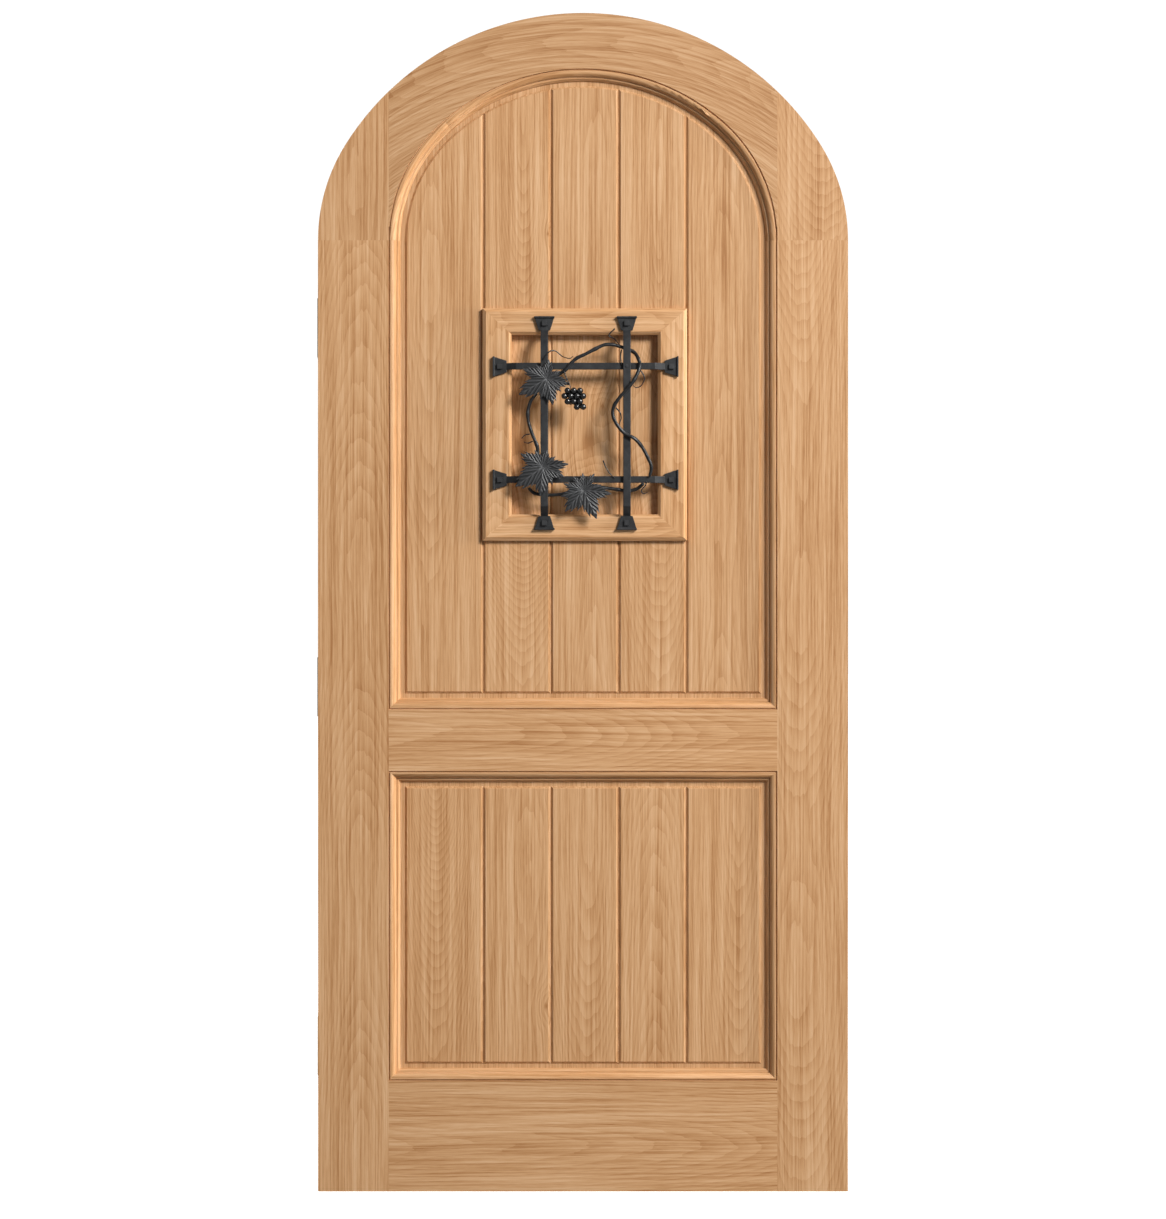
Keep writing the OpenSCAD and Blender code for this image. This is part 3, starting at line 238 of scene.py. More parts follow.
def oak(name, grain, seed, pith, slope, tone, middle, ring, knots=(), boards=None, wave=1.0):
    """Oak whose rings are cut by the board. grain is as in grain_ways. pith is how far the log's middle lies
    beside and behind the board, in metres, and slope how it leans. middle is the board's middle, across the
    grain and along it, and ring a ring's width in mm. A knot is its place across and along, and its size, in
    metres. boards is the middle and the pitch of boards side by side. wave is how far the fibres wander."""
    g = Graph(name)
    x, y, z = g.place()
    along, across = grain_ways(g, grain, x, z)
    u = g.minus(across, middle[0])
    run = g.minus(along, middle[1])
    shift = seed
    if boards:
        first, pitch = boards
        count = g.math("ROUND", g.math("DIVIDE", g.minus(z if grain == "x" else x, first), pitch))
        u = g.minus(u, g.times(count, pitch))
        shift = g.total(g.times(count, SEED_STEP), seed)

    def cloud(kind, where=u):
        """Noise stretched along the grain, about 0."""
        across_scale, along_scale, offset, detail, rough = OAK_NOISE[kind]
        spot = g.vector(
            g.total(g.times(where, across_scale), shift, offset),
            g.total(g.times(y, across_scale), offset),
            g.times(run, along_scale),
        )
        return g.minus(g.noise(spot, 1.0, detail, rough), 0.5)

    fibres = g.total(u, g.times(cloud("bend"), BEND * wave), g.times(cloud("ripple"), RIPPLE * wave))
    side = g.total(fibres, -pith[0])
    depth = g.total(g.minus(pith[1], y), g.times(run, slope), g.times(cloud("lean"), LEAN))
    radius = g.length(side, depth)
    dark_knot = 0.0
    for across_k, along_k, size in knots:
        du = g.minus(u, across_k)
        dl = g.times(g.minus(run, along_k), KNOT_STRETCH)
        square = g.total(g.times(du, du), g.times(dl, dl))
        swirl = g.math("EXPONENT", g.math("DIVIDE", square, -((size * SWIRL) ** 2)))
        core = g.math("EXPONENT", g.math("DIVIDE", square, -((size * CORE) ** 2)))
        push = g.times(swirl, size * PUSH)
        radius = g.total(radius, push)
        fibres = g.total(fibres, g.times(push, 0.8))
        dark_knot = g.total(dark_knot, g.times(core, 0.65), g.times(swirl, 0.12))
    rings = g.total(g.math("DIVIDE", radius, ring * MM), g.times(cloud("ragged"), RAGGED))
    early = g.math("POWER", g.minus(1.0, g.math("FRACT", rings)), 1.6)
    streak = cloud("streak", fibres)
    fibre = cloud("fibre", fibres)
    pore = g.times(g.span(cloud("pore", fibres), 0.08, 0.2), g.span(early, 0.1, 0.7, 0.35, 1.0))
    value = g.total(
        OAK_VALUE,
        g.times(cloud("band", fibres), LIGHTER["band"]),
        g.times(streak, LIGHTER["streak"]),
        g.times(fibre, LIGHTER["fibre"]),
        g.times(cloud("patch"), LIGHTER["patch"]),
        g.times(early, LIGHTER["early"]),
        g.times(pore, LIGHTER["pore"]),
        g.times(dark_knot, LIGHTER["knot"]),
    )
    stops = [(where, tuple(min(c * tone, 1.0) for c in colour)) for where, colour in OAK_COLOURS]
    g.feed(g.shader.inputs["Base Color"], g.ramp(value, stops))
    dull = g.total(fibre, g.times(pore, 0.5))
    g.feed(g.shader.inputs["Roughness"], g.span(dull, -0.3, 0.7, 0.42, 0.66))
    g.shader.inputs["Specular IOR Level"].default_value = 0.4
    g.bump(g.total(g.times(streak, 0.5), g.times(fibre, 0.4), g.times(pore, -0.7)), 0.12 * MM, 0.6)
    return g.material


IRON_LOW, IRON_HIGH = (0.020, 0.021, 0.023), (0.052, 0.054, 0.057)


def iron(name, low=IRON_LOW, high=IRON_HIGH, rough=(0.34, 0.56), hammer=0.35, painted_highlight=None):
    """Blackened wrought iron: uneven colour, small hammer marks and a fine scale. Its last argument is a lighter
    colour, mixed in where the mesh's attribute of the same name is 1: a painted highlight."""
    g = Graph(name)
    x, y, z = g.place()
    where = g.vector(x, y, z)
    large = g.noise(where, 55, 3.0, 0.6)
    dents = g.noise(where, 190, 2.0, 0.5)
    scale = g.noise(where, 1400, 3.0, 0.6)
    mixed = g.total(g.times(large, 0.6), g.times(scale, 0.4))
    colour = g.mix(g.span(mixed, 0.3, 0.7), (*low, 1), (*high, 1))
    if painted_highlight:
        # A painted highlight: the lighter colour where the mesh's attribute says so, broken up by the fine scale.
        highlight_attribute = g.tree.nodes.new("ShaderNodeAttribute")
        highlight_attribute.attribute_name = "painted_highlight"
        share = g.times(highlight_attribute.outputs["Fac"], g.span(scale, 0.35, 0.6, 0.55, 1.0))
        colour = g.mix(share, colour, (*painted_highlight, 1))
    g.feed(g.shader.inputs["Base Color"], colour)
    g.feed(g.shader.inputs["Roughness"], g.span(g.total(scale, large), 0.6, 1.4, *rough))
    g.shader.inputs["Metallic"].default_value = 0.35
    g.shader.inputs["Specular IOR Level"].default_value = 0.5
    g.bump(g.total(dents, g.times(scale, 0.18)), 0.6 * MM, hammer)
    return g.material


def steel(name, colour, rough=0.34, along=2):
    """Satin metal, brushed along one axis, a little duller in patches."""
    g = Graph(name)
    stretch = [g.times(v, 60 if i == along else 2600) for i, v in enumerate(g.place())]
    brush = g.noise(g.vector(*stretch), 1.0, 2.0, 0.6)
    cloud = g.noise(g.vector(*g.place()), 90, 3.0, 0.6)
    dull = tuple(c * 0.72 for c in colour)
    g.feed(g.shader.inputs["Base Color"], g.mix(g.span(cloud, 0.35, 0.75), (*colour, 1), (*dull, 1)))
    g.feed(g.shader.inputs["Roughness"], g.span(g.total(brush, cloud), 0.6, 1.4, rough - 0.06, rough + 0.14))
    g.shader.inputs["Metallic"].default_value = 1.0
    g.bump(brush, 0.03 * MM, 0.5)
    return g.material


# ---------------------------------------------------------------- the model's own nodes


def dress(name, material, ease=0.0, segments=2):
    """Gives a CAD node its material, and eases its arrises."""
    node = nodes[name]
    node.data.materials.clear()
    node.data.materials.append(material)
    if ease:
        weld = node.modifiers.new("weld", "WELD")
        weld.merge_threshold = 0.00001
        bevel = node.modifiers.new("ease", "BEVEL")
        bevel.width = ease * MM
        bevel.segments = segments
        bevel.limit_method = "ANGLE"
        bevel.angle_limit = math.radians(28)
        bevel.harden_normals = False


draw = random.Random(41)
PLANK_TONES = {"upper": (0.94, 0.94, 0.92, 0.925, 0.93), "lower": (0.955, 0.95, 0.935, 0.94, 0.95)}
PLANK_SLOPES = {"upper": (-0.02, -0.085, 0.03, -0.075, 0.025), "lower": (-0.08, 0.03, -0.05, 0.06, -0.03)}
PLANK_SEEDS = {"upper": 1.0, "lower": 30.0}
PLANK_SEED_STEP = 2.9
PLANK_KNOTS = {
    "lower_plank_2": [(0.047, -0.14, 0.006)],
    "upper_plank_2": [(0.05, 0.33, 0.004)],
}

for name in sorted(n for n in nodes if "_plank_" in n):
    low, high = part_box(name)
    board = "_".join(name.split("_")[:3])
    panel, number = name.split("_")[0], int(board[-1])
    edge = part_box(board + "_top" if board + "_top" in nodes else board)
    middle_z = WINDOW.z if panel == "upper" else (low.z + high.z) / 2
    pith_side, pith_depth = draw.uniform(-0.02, 0.02), draw.uniform(0.045, 0.08)
    material = oak(
        name + "_oak", "z",
        seed=PLANK_SEEDS[panel] + PLANK_SEED_STEP * number,
        pith=(pith_side, pith_depth),
        slope=PLANK_SLOPES[panel][number - 1],
        tone=PLANK_TONES[panel][number - 1],
        middle=((edge[0].x + edge[1].x) / 2, middle_z),
        ring=draw.uniform(2.7, 3.4),
        knots=PLANK_KNOTS.get(board, ()),
    )
    dress(name, material, 0.5)

FRAME_WOOD = {
    # node: grain, seed, pith, slope, tone, ring width
    "left_stile": ("z", 61.0, (0.012, 0.10), 0.045, 0.945, 3.2),
    "right_stile": ("z", 64.0, (-0.02, 0.11), -0.04, 0.91, 3.2),
    "left_haunch": ("z", 67.0, (0.0, 0.14), 0.05, 0.91, 3.0),
    "right_haunch": ("z", 70.0, (0.02, 0.13), -0.05, 0.90, 3.0),
    "arch_head": ("bow", 73.0, (0.05, 0.12), -0.07, 0.83, 3.0),
    "lock_rail": ("x", 76.0, (0.01, 0.10), 0.05, 0.945, 3.1),
    "bottom_rail": ("x", 79.0, (-0.015, 0.09), 0.07, 0.925, 3.3),
    "window_frame_top": ("x", 82.0, (0.0, 0.10), 0.05, 1.0, 2.6),
    "window_frame_bottom": ("x", 85.0, (0.01, 0.09), 0.06, 1.02, 2.6),
    "window_frame_left": ("z", 88.0, (0.0, 0.10), 0.05, 1.02, 2.6),
    "window_frame_right": ("z", 91.0, (0.01, 0.11), -0.05, 1.03, 2.6),
    "upper_left_moulding": ("z", 94.0, (0.15, 0.12), 0.02, 0.99, 2.6),
    "upper_right_moulding": ("z", 97.0, (0.15, 0.12), 0.02, 1.0, 2.6),
    "upper_bottom_moulding": ("x", 100.0, (0.15, 0.12), 0.02, 1.0, 2.6),
    "lower_left_moulding": ("z", 103.0, (0.15, 0.12), 0.02, 0.99, 2.6),
    "lower_right_moulding": ("z", 106.0, (0.15, 0.12), 0.02, 1.0, 2.6),
    "lower_top_moulding": ("x", 109.0, (0.15, 0.12), 0.02, 0.98, 2.6),
    "lower_bottom_moulding": ("x", 112.0, (0.15, 0.12), 0.02, 1.0, 2.6),
    "arch_moulding": ("arch", 115.0, (0.15, 0.12), 0.02, 0.98, 2.6),
}
for name, (grain, seed, pith, slope, tone, ring) in FRAME_WOOD.items():
    low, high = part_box(name)
    centre = (low + high) / 2
    middles = {"x": (centre.z, centre.x), "z": (centre.x, centre.z), "arch": (INNER, 0.0), "bow": (BOW_R, 0.0)}
    wave = 2.0 if grain in ("x", "bow") and "moulding" not in name else 1.0
    material = oak(name + "_oak", grain, seed, pith, slope, tone, middles[grain], ring, wave=wave)
    dress(name, material, 0.3 if "moulding" in name else 0.8)


def frame_grain(name, width):
    """Which way the grain runs in a mitred frame of four members."""
    low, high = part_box(name)
    middle, half = (low + high) / 2, (high - low) / 2
    return (middle.x, middle.z, half.x - width, half.z - width)


MOULD_W, REAR_FRAME_W, LINING_W = 0.02, 0.04, 0.015
dress("rear_upper_mouldings", oak(
    "rear_upper_oak", (*frame_grain("rear_upper_mouldings", MOULD_W), True), seed=121.0, pith=(0.15, 0.12),
    slope=0.02, tone=0.98, middle=(INNER, 0), ring=2.6
), 0.3)
dress("rear_lower_mouldings", oak(
    "rear_lower_oak", frame_grain("rear_lower_mouldings", MOULD_W), seed=124.0, pith=(0.15, 0.12),
    slope=0.02, tone=0.98, middle=(INNER, 0), ring=2.6
), 0.3)
dress("rear_window_frame", oak(
    "rear_window_oak", frame_grain("rear_window_frame", REAR_FRAME_W), seed=127.0, pith=(0.0, 0.1),
    slope=0.05, tone=1.0, middle=(0.15, WINDOW.z), ring=2.6
), 0.8)
dress("window_lining", oak(
    "lining_oak", frame_grain("window_lining", LINING_W), seed=130.0, pith=(0.1, 0.1),
    slope=0.05, tone=0.93, middle=(0.1, WINDOW.z), ring=2.6
), 0.3)
dress("hatch_boards", oak(
    "hatch_oak", "z", seed=137.0, pith=(0.01, 0.06), slope=0.07, tone=1.0, middle=(WINDOW.x, WINDOW.z), ring=3.2,
    knots=[(0.008, -0.03, 0.017), (-0.016, 0.07, 0.009), (0.03, 0.035, 0.007)], boards=(WINDOW.x, PITCH)
), 0.5)
BATTEN_W = 50 * MM
batten_low, batten_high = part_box("hatch_battens")
batten_pitch = (batten_high.z - batten_low.z - BATTEN_W) / 2
dress("hatch_battens", oak(
    "batten_oak", "x", seed=141.0, pith=(0.0, 0.1), slope=0.05, tone=0.97, middle=(WINDOW.z, WINDOW.x), ring=2.8,
    boards=(WINDOW.z, batten_pitch)
), 1.0)
dress("hatch_knob", oak(
    "knob_oak", "x", seed=145.0, pith=(0.0, 0.03), slope=0.02, tone=0.82, middle=(WINDOW.z, WINDOW.x), ring=2.0
), 0.3)
dress("frame_dowels", oak(
    "dowel_oak", "x", seed=149.0, pith=(0.0, 0.1), slope=0.02, tone=0.9, middle=(0, 0), ring=2.0
))

BAR_IRON = iron("bar_iron")
for name in ("grille_upright_left", "grille_upright_right", "grille_level_top", "grille_level_bottom"):
    dress(name, BAR_IRON, 0.8)
dress("grille_fixings", iron("fixing_iron", (0.03, 0.031, 0.033), (0.08, 0.082, 0.086), (0.26, 0.4)), 1.0, 3)

HINGE_STEEL = steel("hinge_satin_steel", (0.60, 0.57, 0.52))
for name in (
    "hinge_frame_leaf_top", "hinge_frame_leaf_middle", "hinge_frame_leaf_bottom", "hinge_door_leaves", "hinge_pins"
):
    dress(name, HINGE_STEEL, 0.3)
dress("hinge_screws", steel("hinge_screw_steel", (0.62, 0.60, 0.56), 0.3, 0), 0.2)
SMALL_STEEL = steel("small_hardware_steel", (0.52, 0.49, 0.45), 0.36)
for name in ("hatch_hinge_leaves", "hatch_fixed_leaves", "hatch_hinge_pins", "hatch_screws", "turn_button"):
    dress(name, SMALL_STEEL, 0.3)

# ---------------------------------------------------------------- the vine


def new_mesh(name, points, faces, material, body="door", nodes_replaced=()):
    mesh = bpy.data.meshes.new(name)
    mesh.from_pydata([tuple(p) for p in points], [], faces)
    mesh.materials.append(material)
    work = bmesh.new()
    work.from_mesh(mesh)
    bmesh.ops.recalc_face_normals(work, faces=work.faces)
    work.to_mesh(mesh)
    work.free()
    for face in mesh.polygons:
        face.use_smooth = True
    piece = bpy.data.objects.new(name, mesh)
    scene.collection.objects.link(piece)
    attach(piece, body)
    if nodes_replaced:
        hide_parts(*nodes_replaced)
    return piece


def curve_through(points, steps):
    """Points on a smooth curve through the given ones."""
    route = []
    last = len(points) - 1
    for i in range(last):
        a, b, c, d = points[max(i - 1, 0)], points[i], points[i + 1], points[min(i + 2, last)]
        for j in range(steps):
            t = j / steps
            bow = (2 * a - 5 * b + 4 * c - d) * t * t
            twist = (3 * b - a - 3 * c + d) * t ** 3
            route.append(0.5 * (2 * b + (c - a) * t + bow + twist))
    route.append(points[-1])
    return route


# How far a rod's ends are domed, in mm.
CAP = 0.6


def add_rod(points, faces, route, radius, sides=12, flute=0.0, twist=0.0, end=1.0):
    """Sweeps a round rod along a route. radius is a function of the distance along it, in mm, and of the share
    of it passed. flute is how deep its three flutes are, twist how fast they turn, and end the share of its
    radius at the far end."""
    start = len(points)
    normal = Vector((0, 1, 0))
    along = 0.0
    count = len(route)
    for i, p in enumerate(route):
        tangent = (route[min(i + 1, count - 1)] - route[max(i - 1, 0)]).normalized()
        normal = (normal - tangent * normal.dot(tangent)).normalized()
        other = tangent.cross(normal)
        if i:
            along += (p - route[i - 1]).length / MM
        share = i / (count - 1)
        r = radius(along, share) * MM * (1 - (1 - end) * share)
        for j in range(sides):
            angle = 2 * math.pi * j / sides
            ridge = 1 + flute * math.cos(3 * angle + along * twist)
            points.append(p + (normal * math.cos(angle) + other * math.sin(angle)) * r * ridge)
    for i in range(count - 1):
        for j in range(sides):
            a, b = start + i * sides + j, start + i * sides + (j + 1) % sides
            faces.append((a, b, b + sides, a + sides))
    for ring, p, out in ((0, route[0], route[0] - route[1]), (count - 1, route[-1], route[-1] - route[-2])):
        points.append(p + out.normalized() * CAP * MM)
        for j in range(sides):
            a, b = start + ring * sides + j, start + ring * sides + (j + 1) % sides
            faces.append((a, b, len(points) - 1) if ring else (b, a, len(points) - 1))


# The bars' and the vine's own stand-offs from the front face, in mm.
BAR_FRONT = (FRONT - LEFT_BAR[0].y) / MM
STEM_R = 3.3
# The stem's middle in front of the upright bars, in front of the level ones, and behind the upright ones.
UP, LV, BK = 23.6, 17.6, 10.4
STEMS = [
    [
        (110, LV, -92), (113, LV, -76), (107, LV, -60), (97, 19, -42), (84, UP, -28), (66, UP, -18),
        (54, UP, -4), (47, 21, 12), (48, 21, 26), (56, UP, 40), (68, UP, 54), (80, UP, 68), (89, 21, 84),
        (93, LV, 98),
        (91, LV, 109), (84, BK, 121), (72, BK, 127), (60, BK, 131), (48, 12, 134), (33, 14, 134), (17, 16, 127),
        (0, LV, 118), (-15, LV, 111), (-25, LV, 102), (-33, LV, 92), (-44, 16, 84), (-55, 15.5, 78)
    ],
    [
        (-84, 14, 50), (-94, 14, 38), (-99, 14, 22), (-99, 14, 6), (-95, 14, -10), (-89, 14, -26),
        (-83, 14.5, -42), (-81.4, 16, -62)
    ],
    [
        (-98, 13, -112), (-88, BK, -121), (-70, BK, -124), (-54, 11, -124), (-38, 13, -122), (-20, 14, -118),
        (4, 14, -112), (24, 14, -111), (42, 12, -113), (58, BK, -115), (72, BK, -117), (88, 11.2, -113.5),
        (99, 18.6, -105)
    ],
]
# How far along each stem its swollen joints are, in mm.
KNUCKLES = [(60, 150, 205, 262, 330, 395, 470), (40, 95), (35, 90, 160)]
SEEN_R, SWELL, KNUCKLE_L, TAPER_L = 3.15, 0.16, 3.5, 14

stem_iron = iron("stem_iron", (0.014, 0.015, 0.016), (0.04, 0.042, 0.045), (0.24, 0.4), 0.4)
points, faces = [], []
for route, knuckles in zip(STEMS, KNUCKLES):
    def swollen(along, share, knuckles=knuckles):
        swell = sum(SWELL * math.exp(-(((along - k) / KNUCKLE_L) ** 2)) for k in knuckles)
        ends = 1 - 0.25 * max(0.0, 1 - along / TAPER_L)
        return SEEN_R * ends * (0.97 + swell + 0.03 * math.sin(along * 0.21) + 0.02 * math.sin(along * 0.57))
    add_rod(points, faces, curve_through([at(*p) for p in route], 10), swollen, 16, 0.05, 0.06)
new_mesh("vine_stem_detail", points, faces, stem_iron, nodes_replaced=["vine_stem"])

TENDRILS = [
    [(-73, 21.6, 108), (-63, 21.8, 121), (-52, 18, 123), (-40, 16, 114), (-28, 20, 110), (-22, 22.5, 113)],
    [(50, 8, 162), (40, 8, 151), (49, 8, 145), (57, 10.5, 136)],
    [(94.5, 22.8, 89), (101, 22, 76), (95, 21, 63), (86, 22, 60), (82, 27.5, 63)],
    [(51.8, 22.4, 25), (59, 23, 17), (61, 21.6, 8), (59.5, 21.6, 2), (58.4, 22.2, -2.5)],
    [(104.4, 19, -101.4), (102.3, 18, -108.8), (96, 17, -116), (99, 17, -122), (106, 17, -120)],
    [(30, 16, -65), (35, 15.6, -77), (43, 15.4, -89), (50, 15.6, -95)],
    [(62, 10, 126), (60, 13, 116), (61, 15.6, 104), (63.2, 15.6, 96)],
    [(-96.2, 14, -19.5), (-104, 14, -21), (-110, 14, -27)],
    [(-91, 14, -31.6), (-99, 14, -35), (-106, 13, -33)],
    [(-37, 22.4, 88), (-33, 25, 76), (-27.6, 26.5, 65), (-25.65, 28, 57.2)],
]
TENDRIL_R = 1.25
points, faces = [], []
for route in TENDRILS:
    curve = curve_through([at(*p) for p in route], 9)
    add_rod(points, faces, curve, lambda along, share: TENDRIL_R, sides=10, end=0.55)
new_mesh("vine_tendrils_detail", points, faces, stem_iron, nodes_replaced=["vine_tendrils"])


def leaf(name, node, x, z, out, lobes, droop):
    """A beaten vine leaf: broad pointed lobes with forward teeth, a raised vein down each and one to each tooth.
    A lobe is its angle in degrees, its length in mm and its half width in degrees. droop is how far it bellies out,
    in mm."""
    spokes, rings = 360, 30
    teeth, tooth = 3, 0.2
    least_reach = 15.0
    vein_turn = math.radians(27)
    vein_start, vein_step = 0.12, 0.21

    def nearest(angle):
        """The lobe that reaches furthest at an angle, how far, and how far round from its middle that is."""
        best, owner, where = 0.0, lobes[0], 0.0
        for lobe in lobes:
            turn = (angle - lobe[0] + 540) % 360 - 180
            t = abs(turn) / lobe[2]
            size = lobe[1] * (1 - 0.52 * t ** 1.25) if t < 1.5 else 0.0
            if size > best:
                best, owner, where = size, lobe, turn
        return owner, best, where

    def reach(angle):
        owner, size, turn = nearest(angle)
        notch = (abs(turn) / owner[2] * teeth + 0.12) % 1.0
        return max(size, least_reach) * (1 - tooth * notch)

    def veins(px, pz):
        """How near a point is to a vein, from 0 to 1, and how near to the fold between two."""
        r = math.hypot(px, pz)
        owner, size, turn = nearest(math.degrees(math.atan2(pz, px)))
        down, aside = r * math.cos(math.radians(turn)), abs(r * math.sin(math.radians(turn)))
        near = math.exp(-((aside / (0.75 + 0.9 * max(0.0, 1 - r / owner[1]))) ** 2))
        fold = 0.0
        for k in range(teeth + 1):
            start = owner[1] * (vein_start + vein_step * k)
            if down > start:
                off = aside * math.cos(vein_turn) - (down - start) * math.sin(vein_turn)
                near = max(near, 0.8 * math.exp(-((off / 0.65) ** 2)))
                past = down - start - owner[1] * vein_step / 2
                between = aside * math.cos(vein_turn) - past * math.sin(vein_turn)
                fold = max(fold, math.exp(-((between / 1.5) ** 2)))
        return near, fold, owner, turn

    def height(px, pz):
        r = math.hypot(px, pz)
        near, fold, owner, turn = veins(px, pz)
        t = min(r / owner[1], 1.0)
        grown = min(1.0, r / 9)
        bowl = droop * (0.9 * math.sin(t * math.pi * 0.62) - 0.6 * t * t)
        dish = 1.1 * (abs(turn) / owner[2]) ** 2 * t * math.sin(math.radians(owner[0] * 3 + 40))
        edge = 0.8 * math.sin(math.radians(turn * 13)) * t ** 3
        return 1.6 + bowl + dish + edge + (0.85 * near - 0.75 * fold) * grown

    # A painted highlight: each point's share of the lighter colour, high on the raised veins and along the rim,
    # kept low in the folds.
    points, painted_highlight = [at(x, out + height(0.01, 0), z)], [0.8]
    for i in range(1, rings + 1):
        t = (i / rings) ** 0.9
        for k in range(spokes):
            angle = 360 * k / spokes
            r = t * reach(angle)
            px, pz = r * math.cos(math.radians(angle)), r * math.sin(math.radians(angle))
            points.append(at(x + px, out + max(0.4, height(px, pz)), z + pz))
            near, fold = veins(px, pz)[:2]
            painted_highlight.append(min(1.0, max(0.0, near * 0.75 - fold * 0.25 + 0.25 * (t > 0.97))))
    faces = [(0, 1 + k, 1 + (k + 1) % spokes) for k in range(spokes)]
    for i in range(rings - 1):
        for k in range(spokes):
            a, b = 1 + i * spokes + k, 1 + i * spokes + (k + 1) % spokes
            faces.append((a, a + spokes, b + spokes, b))
    piece = new_mesh(name, points, faces, leaf_iron, nodes_replaced=[node])
    layer = piece.data.attributes.new("painted_highlight", "FLOAT", "POINT")
    layer.data.foreach_set("value", painted_highlight)
    solid = piece.modifiers.new("thickness", "SOLIDIFY")
    solid.thickness = 1.2 * MM
    solid.offset = 0.0
    return piece


# The leaves' lighter grey is a painted highlight on their raised veins and rim.
leaf_iron = iron(
    "leaf_iron", (0.018, 0.019, 0.020), (0.045, 0.046, 0.049), (0.36, 0.52), 0.2, painted_highlight=(0.135, 0.138, 0.145)
)
LEAF_OUT = BAR_FRONT + 0.9
LOW_OUT = BAR_FRONT - 6 + STEM_R + 0.6
TOP_LOBES = [
    (84, 34, 30), (128, 31, 22), (158, 46, 28), (210, 57, 34), (252, 38, 22), (283, 48, 30), (318, 34, 20),
    (346, 42, 28), (30, 27, 26)
]
LEFT_LOBES = [
    (76, 30, 30), (116, 33, 20), (150, 46, 30), (184, 38, 20), (216, 60, 34), (264, 52, 30), (298, 36, 20),
    (334, 42, 28), (6, 45, 26), (40, 28, 22)
]
LOW_LOBES = [
    (92, 30, 26), (56, 35, 24), (16, 33, 22), (352, 50, 28), (322, 34, 18), (295, 56, 32), (255, 38, 20),
    (230, 50, 30), (196, 42, 24), (162, 37, 26), (126, 30, 22)
]
LEAF_DROOP = 4.0
leaf("vine_leaf_top_detail", "vine_leaf_top", -66.5, 75, LEAF_OUT, TOP_LOBES, LEAF_DROOP)
leaf("vine_leaf_left_detail", "vine_leaf_left", -73, -76, LEAF_OUT, LEFT_LOBES, LEAF_DROOP)
leaf("vine_leaf_bottom_detail", "vine_leaf_bottom", -4, -116, LOW_OUT, LOW_LOBES, LEAF_DROOP)

# The grapes' own radius, the one they are drawn with, and how far the front layer's middles stand out, in mm.
GRAPE_R, GRAPE_SEEN = 5.2, 5.6
GRAPE_OUT = 29
GRAPE_PITCH = 2 * GRAPE_R + 0.3
ROW_PITCH = GRAPE_PITCH * 0.866
LAYER_PITCH = GRAPE_PITCH * 0.8165
FRONT_OUT = GRAPE_OUT - (GRAPE_SEEN - GRAPE_R)
BACK_OUT = GRAPE_OUT - LAYER_PITCH
FIRST_X, FIRST_Z = -31, 54
# Each row: its first grape's column, how many rows down it is, its stand-off and how many grapes it has.
GRAPE_ROWS = [
    (0, 0, FRONT_OUT, 3), (-0.5, 1, FRONT_OUT, 4), (0, 2, FRONT_OUT, 3), (1.5, 3, FRONT_OUT, 2),
    (0.5, 1 / 3, BACK_OUT, 2), (1, 4 / 3, BACK_OUT, 2), (1.5, 7 / 3, BACK_OUT, 1),
    (0, 2 / 3, BACK_OUT, 3), (0.5, 5 / 3, BACK_OUT, 2), (0.5, 2, BACK_OUT, 2), (2, 8 / 3, BACK_OUT, 1),
]


def add_grape(points, faces, centre, turn):
    """A forged ball, a little uneven. turn tells one from the next."""
    start, levels, sides = len(points), 14, 24
    for i in range(1, levels):
        pole = math.pi * i / levels
        for j in range(sides):
            angle = 2 * math.pi * j / sides
            ray = Vector((math.sin(pole) * math.cos(angle), math.sin(pole) * math.sin(angle), math.cos(pole)))
            dent = 0.012 * math.sin(3.1 * ray.x + turn) * math.cos(4.3 * ray.z + 2 * turn)
            dent += 0.01 * math.sin(5 * ray.y + turn)
            points.append(centre + ray * (GRAPE_SEEN * MM * (0.978 + dent)))
    top, bottom = len(points), len(points) + 1
    points.append(centre + Vector((0, 0, GRAPE_SEEN * MM * 0.99)))
    points.append(centre - Vector((0, 0, GRAPE_SEEN * MM * 0.985)))
    for j in range(sides):
        k = (j + 1) % sides
        faces.append((top, start + j, start + k))
        last = start + (levels - 2) * sides
        faces.append((bottom, last + k, last + j))
        for i in range(levels - 2):
            a, b = start + i * sides + j, start + i * sides + k
            faces.append((a, a + sides, b + sides, b))


points, faces = [], []
for column, row, out, count in GRAPE_ROWS:
    for i in range(count):
        centre = at(FIRST_X + (column + i) * GRAPE_PITCH, out, FIRST_Z - row * ROW_PITCH)
        add_grape(points, faces, centre, column * 2.3 + row * 1.7 + i * 2.9)
grape_iron = iron("grape_iron", (0.004, 0.004, 0.005), (0.010, 0.010, 0.011), (0.22, 0.30), 0.04)
polish = grape_iron.node_tree.nodes["Principled BSDF"]
polish.inputs["Specular IOR Level"].default_value = 1.0
polish.inputs["Coat Weight"].default_value = 1.0
polish.inputs["Coat Roughness"].default_value = 0.27
new_mesh("grape_cluster_detail", points, faces, grape_iron, nodes_replaced=["grape_cluster"])

# ---------------------------------------------------------------- floor, light and camera

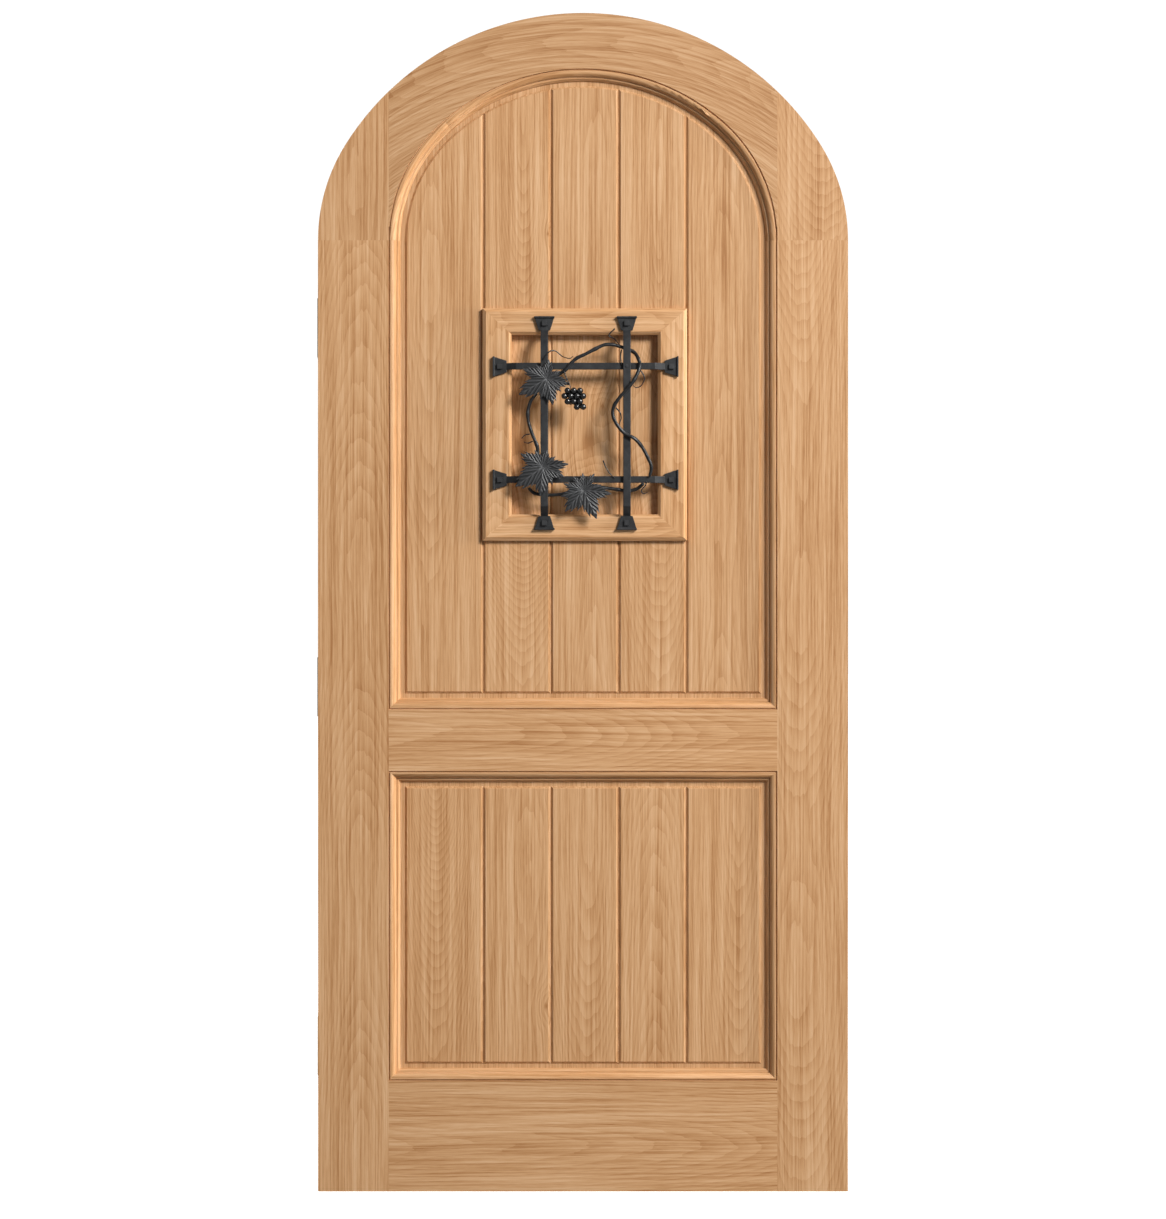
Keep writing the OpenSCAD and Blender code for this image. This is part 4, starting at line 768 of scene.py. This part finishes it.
FLOOR_R = 40
FLOOR_DROP = 0.0005
floor_graph = Graph("pale_floor")
spot = floor_graph.noise(floor_graph.vector(*floor_graph.place()), 3, 2.0)
pale = floor_graph.mix(spot, (0.93, 0.93, 0.93, 1), (0.95, 0.95, 0.95, 1))
floor_graph.feed(floor_graph.shader.inputs["Base Color"], pale)
for socket, value in {
    "Roughness": 0.9, "Specular IOR Level": 0.1, "Emission Color": (1, 1, 1, 1), "Emission Strength": 1.0
}.items():
    floor_graph.shader.inputs[socket].default_value = value
mesh = bpy.data.meshes.new("studio_floor")
turns = [math.radians(a) for a in range(0, 360, 5)]
around = [(FLOOR_R * math.cos(turn), FLOOR_R * math.sin(turn), 0) for turn in turns]
mesh.from_pydata(around, [], [tuple(range(len(around)))])
mesh.materials.append(floor_graph.material)
floor = bpy.data.objects.new("studio_floor", mesh)
scene.collection.objects.link(floor)
floor.location.z = -FLOOR_DROP
floor.visible_diffuse = False
floor.visible_glossy = False


def area_light(name, where, target, size, power, colour=(1, 1, 1)):
    data = bpy.data.lights.new(name, "AREA")
    data.shape = "SQUARE"
    data.size = size
    data.energy = power
    data.color = colour
    lamp = bpy.data.objects.new(name, data)
    lamp.location = where
    lamp.rotation_euler = (Vector(target) - Vector(where)).to_track_quat("-Z", "Y").to_euler()
    scene.collection.objects.link(lamp)
    return lamp


area_light("key", (4.6, -5.2, 4.8), (0, 0, 1.1), 2.2, 735, (1.0, 0.985, 0.96))
side = area_light("side", (6.5, -0.75, 1.7), (0, 0, 1.1), 2.4, 470, (1.0, 0.99, 0.97))
side.visible_glossy = False
area_light("back", (-2.0, 3.2, 4.2), (0, 0, 1.0), 2.5, 300)
world = bpy.data.worlds.new("studio")
scene.world = world
world.use_nodes = True
world_tree = world.node_tree
# The studio is white where it is seen, and lights the object a little.
FILL_STRENGTH, SEEN_STRENGTH = 0.19, 1.05
fill = world_tree.nodes["Background"]
seen = world_tree.nodes.new("ShaderNodeBackground")
for light, strength in ((fill, FILL_STRENGTH), (seen, SEEN_STRENGTH)):
    light.inputs[0].default_value = (1.0, 1.0, 1.0, 1)
    light.inputs[1].default_value = strength
rays = world_tree.nodes.new("ShaderNodeLightPath")
either = world_tree.nodes.new("ShaderNodeMixShader")
world_tree.links.new(rays.outputs["Is Camera Ray"], either.inputs[0])
world_tree.links.new(fill.outputs[0], either.inputs[1])
world_tree.links.new(seen.outputs[0], either.inputs[2])
world_tree.links.new(either.outputs[0], world_tree.nodes["World Output"].inputs[0])

scene.view_settings.view_transform = "Standard"
scene.view_settings.look = "None"

# The height that the picture takes in at the door's face, its middle, and how far off the camera stands, in metres.
FRAME_HEIGHT = 2.1016
VIEW_Z = 1.0034
DISTANCE = 5.0
SENSOR = 36
camera_data = bpy.data.cameras.new("camera")
camera_data.sensor_width = SENSOR
camera_data.lens = SENSOR * (DISTANCE + FRONT) / FRAME_HEIGHT
camera = bpy.data.objects.new("camera", camera_data)
camera.location = (0, -DISTANCE, VIEW_Z)
camera.rotation_euler = (math.radians(90), 0, 0)
scene.collection.objects.link(camera)
scene.camera = camera
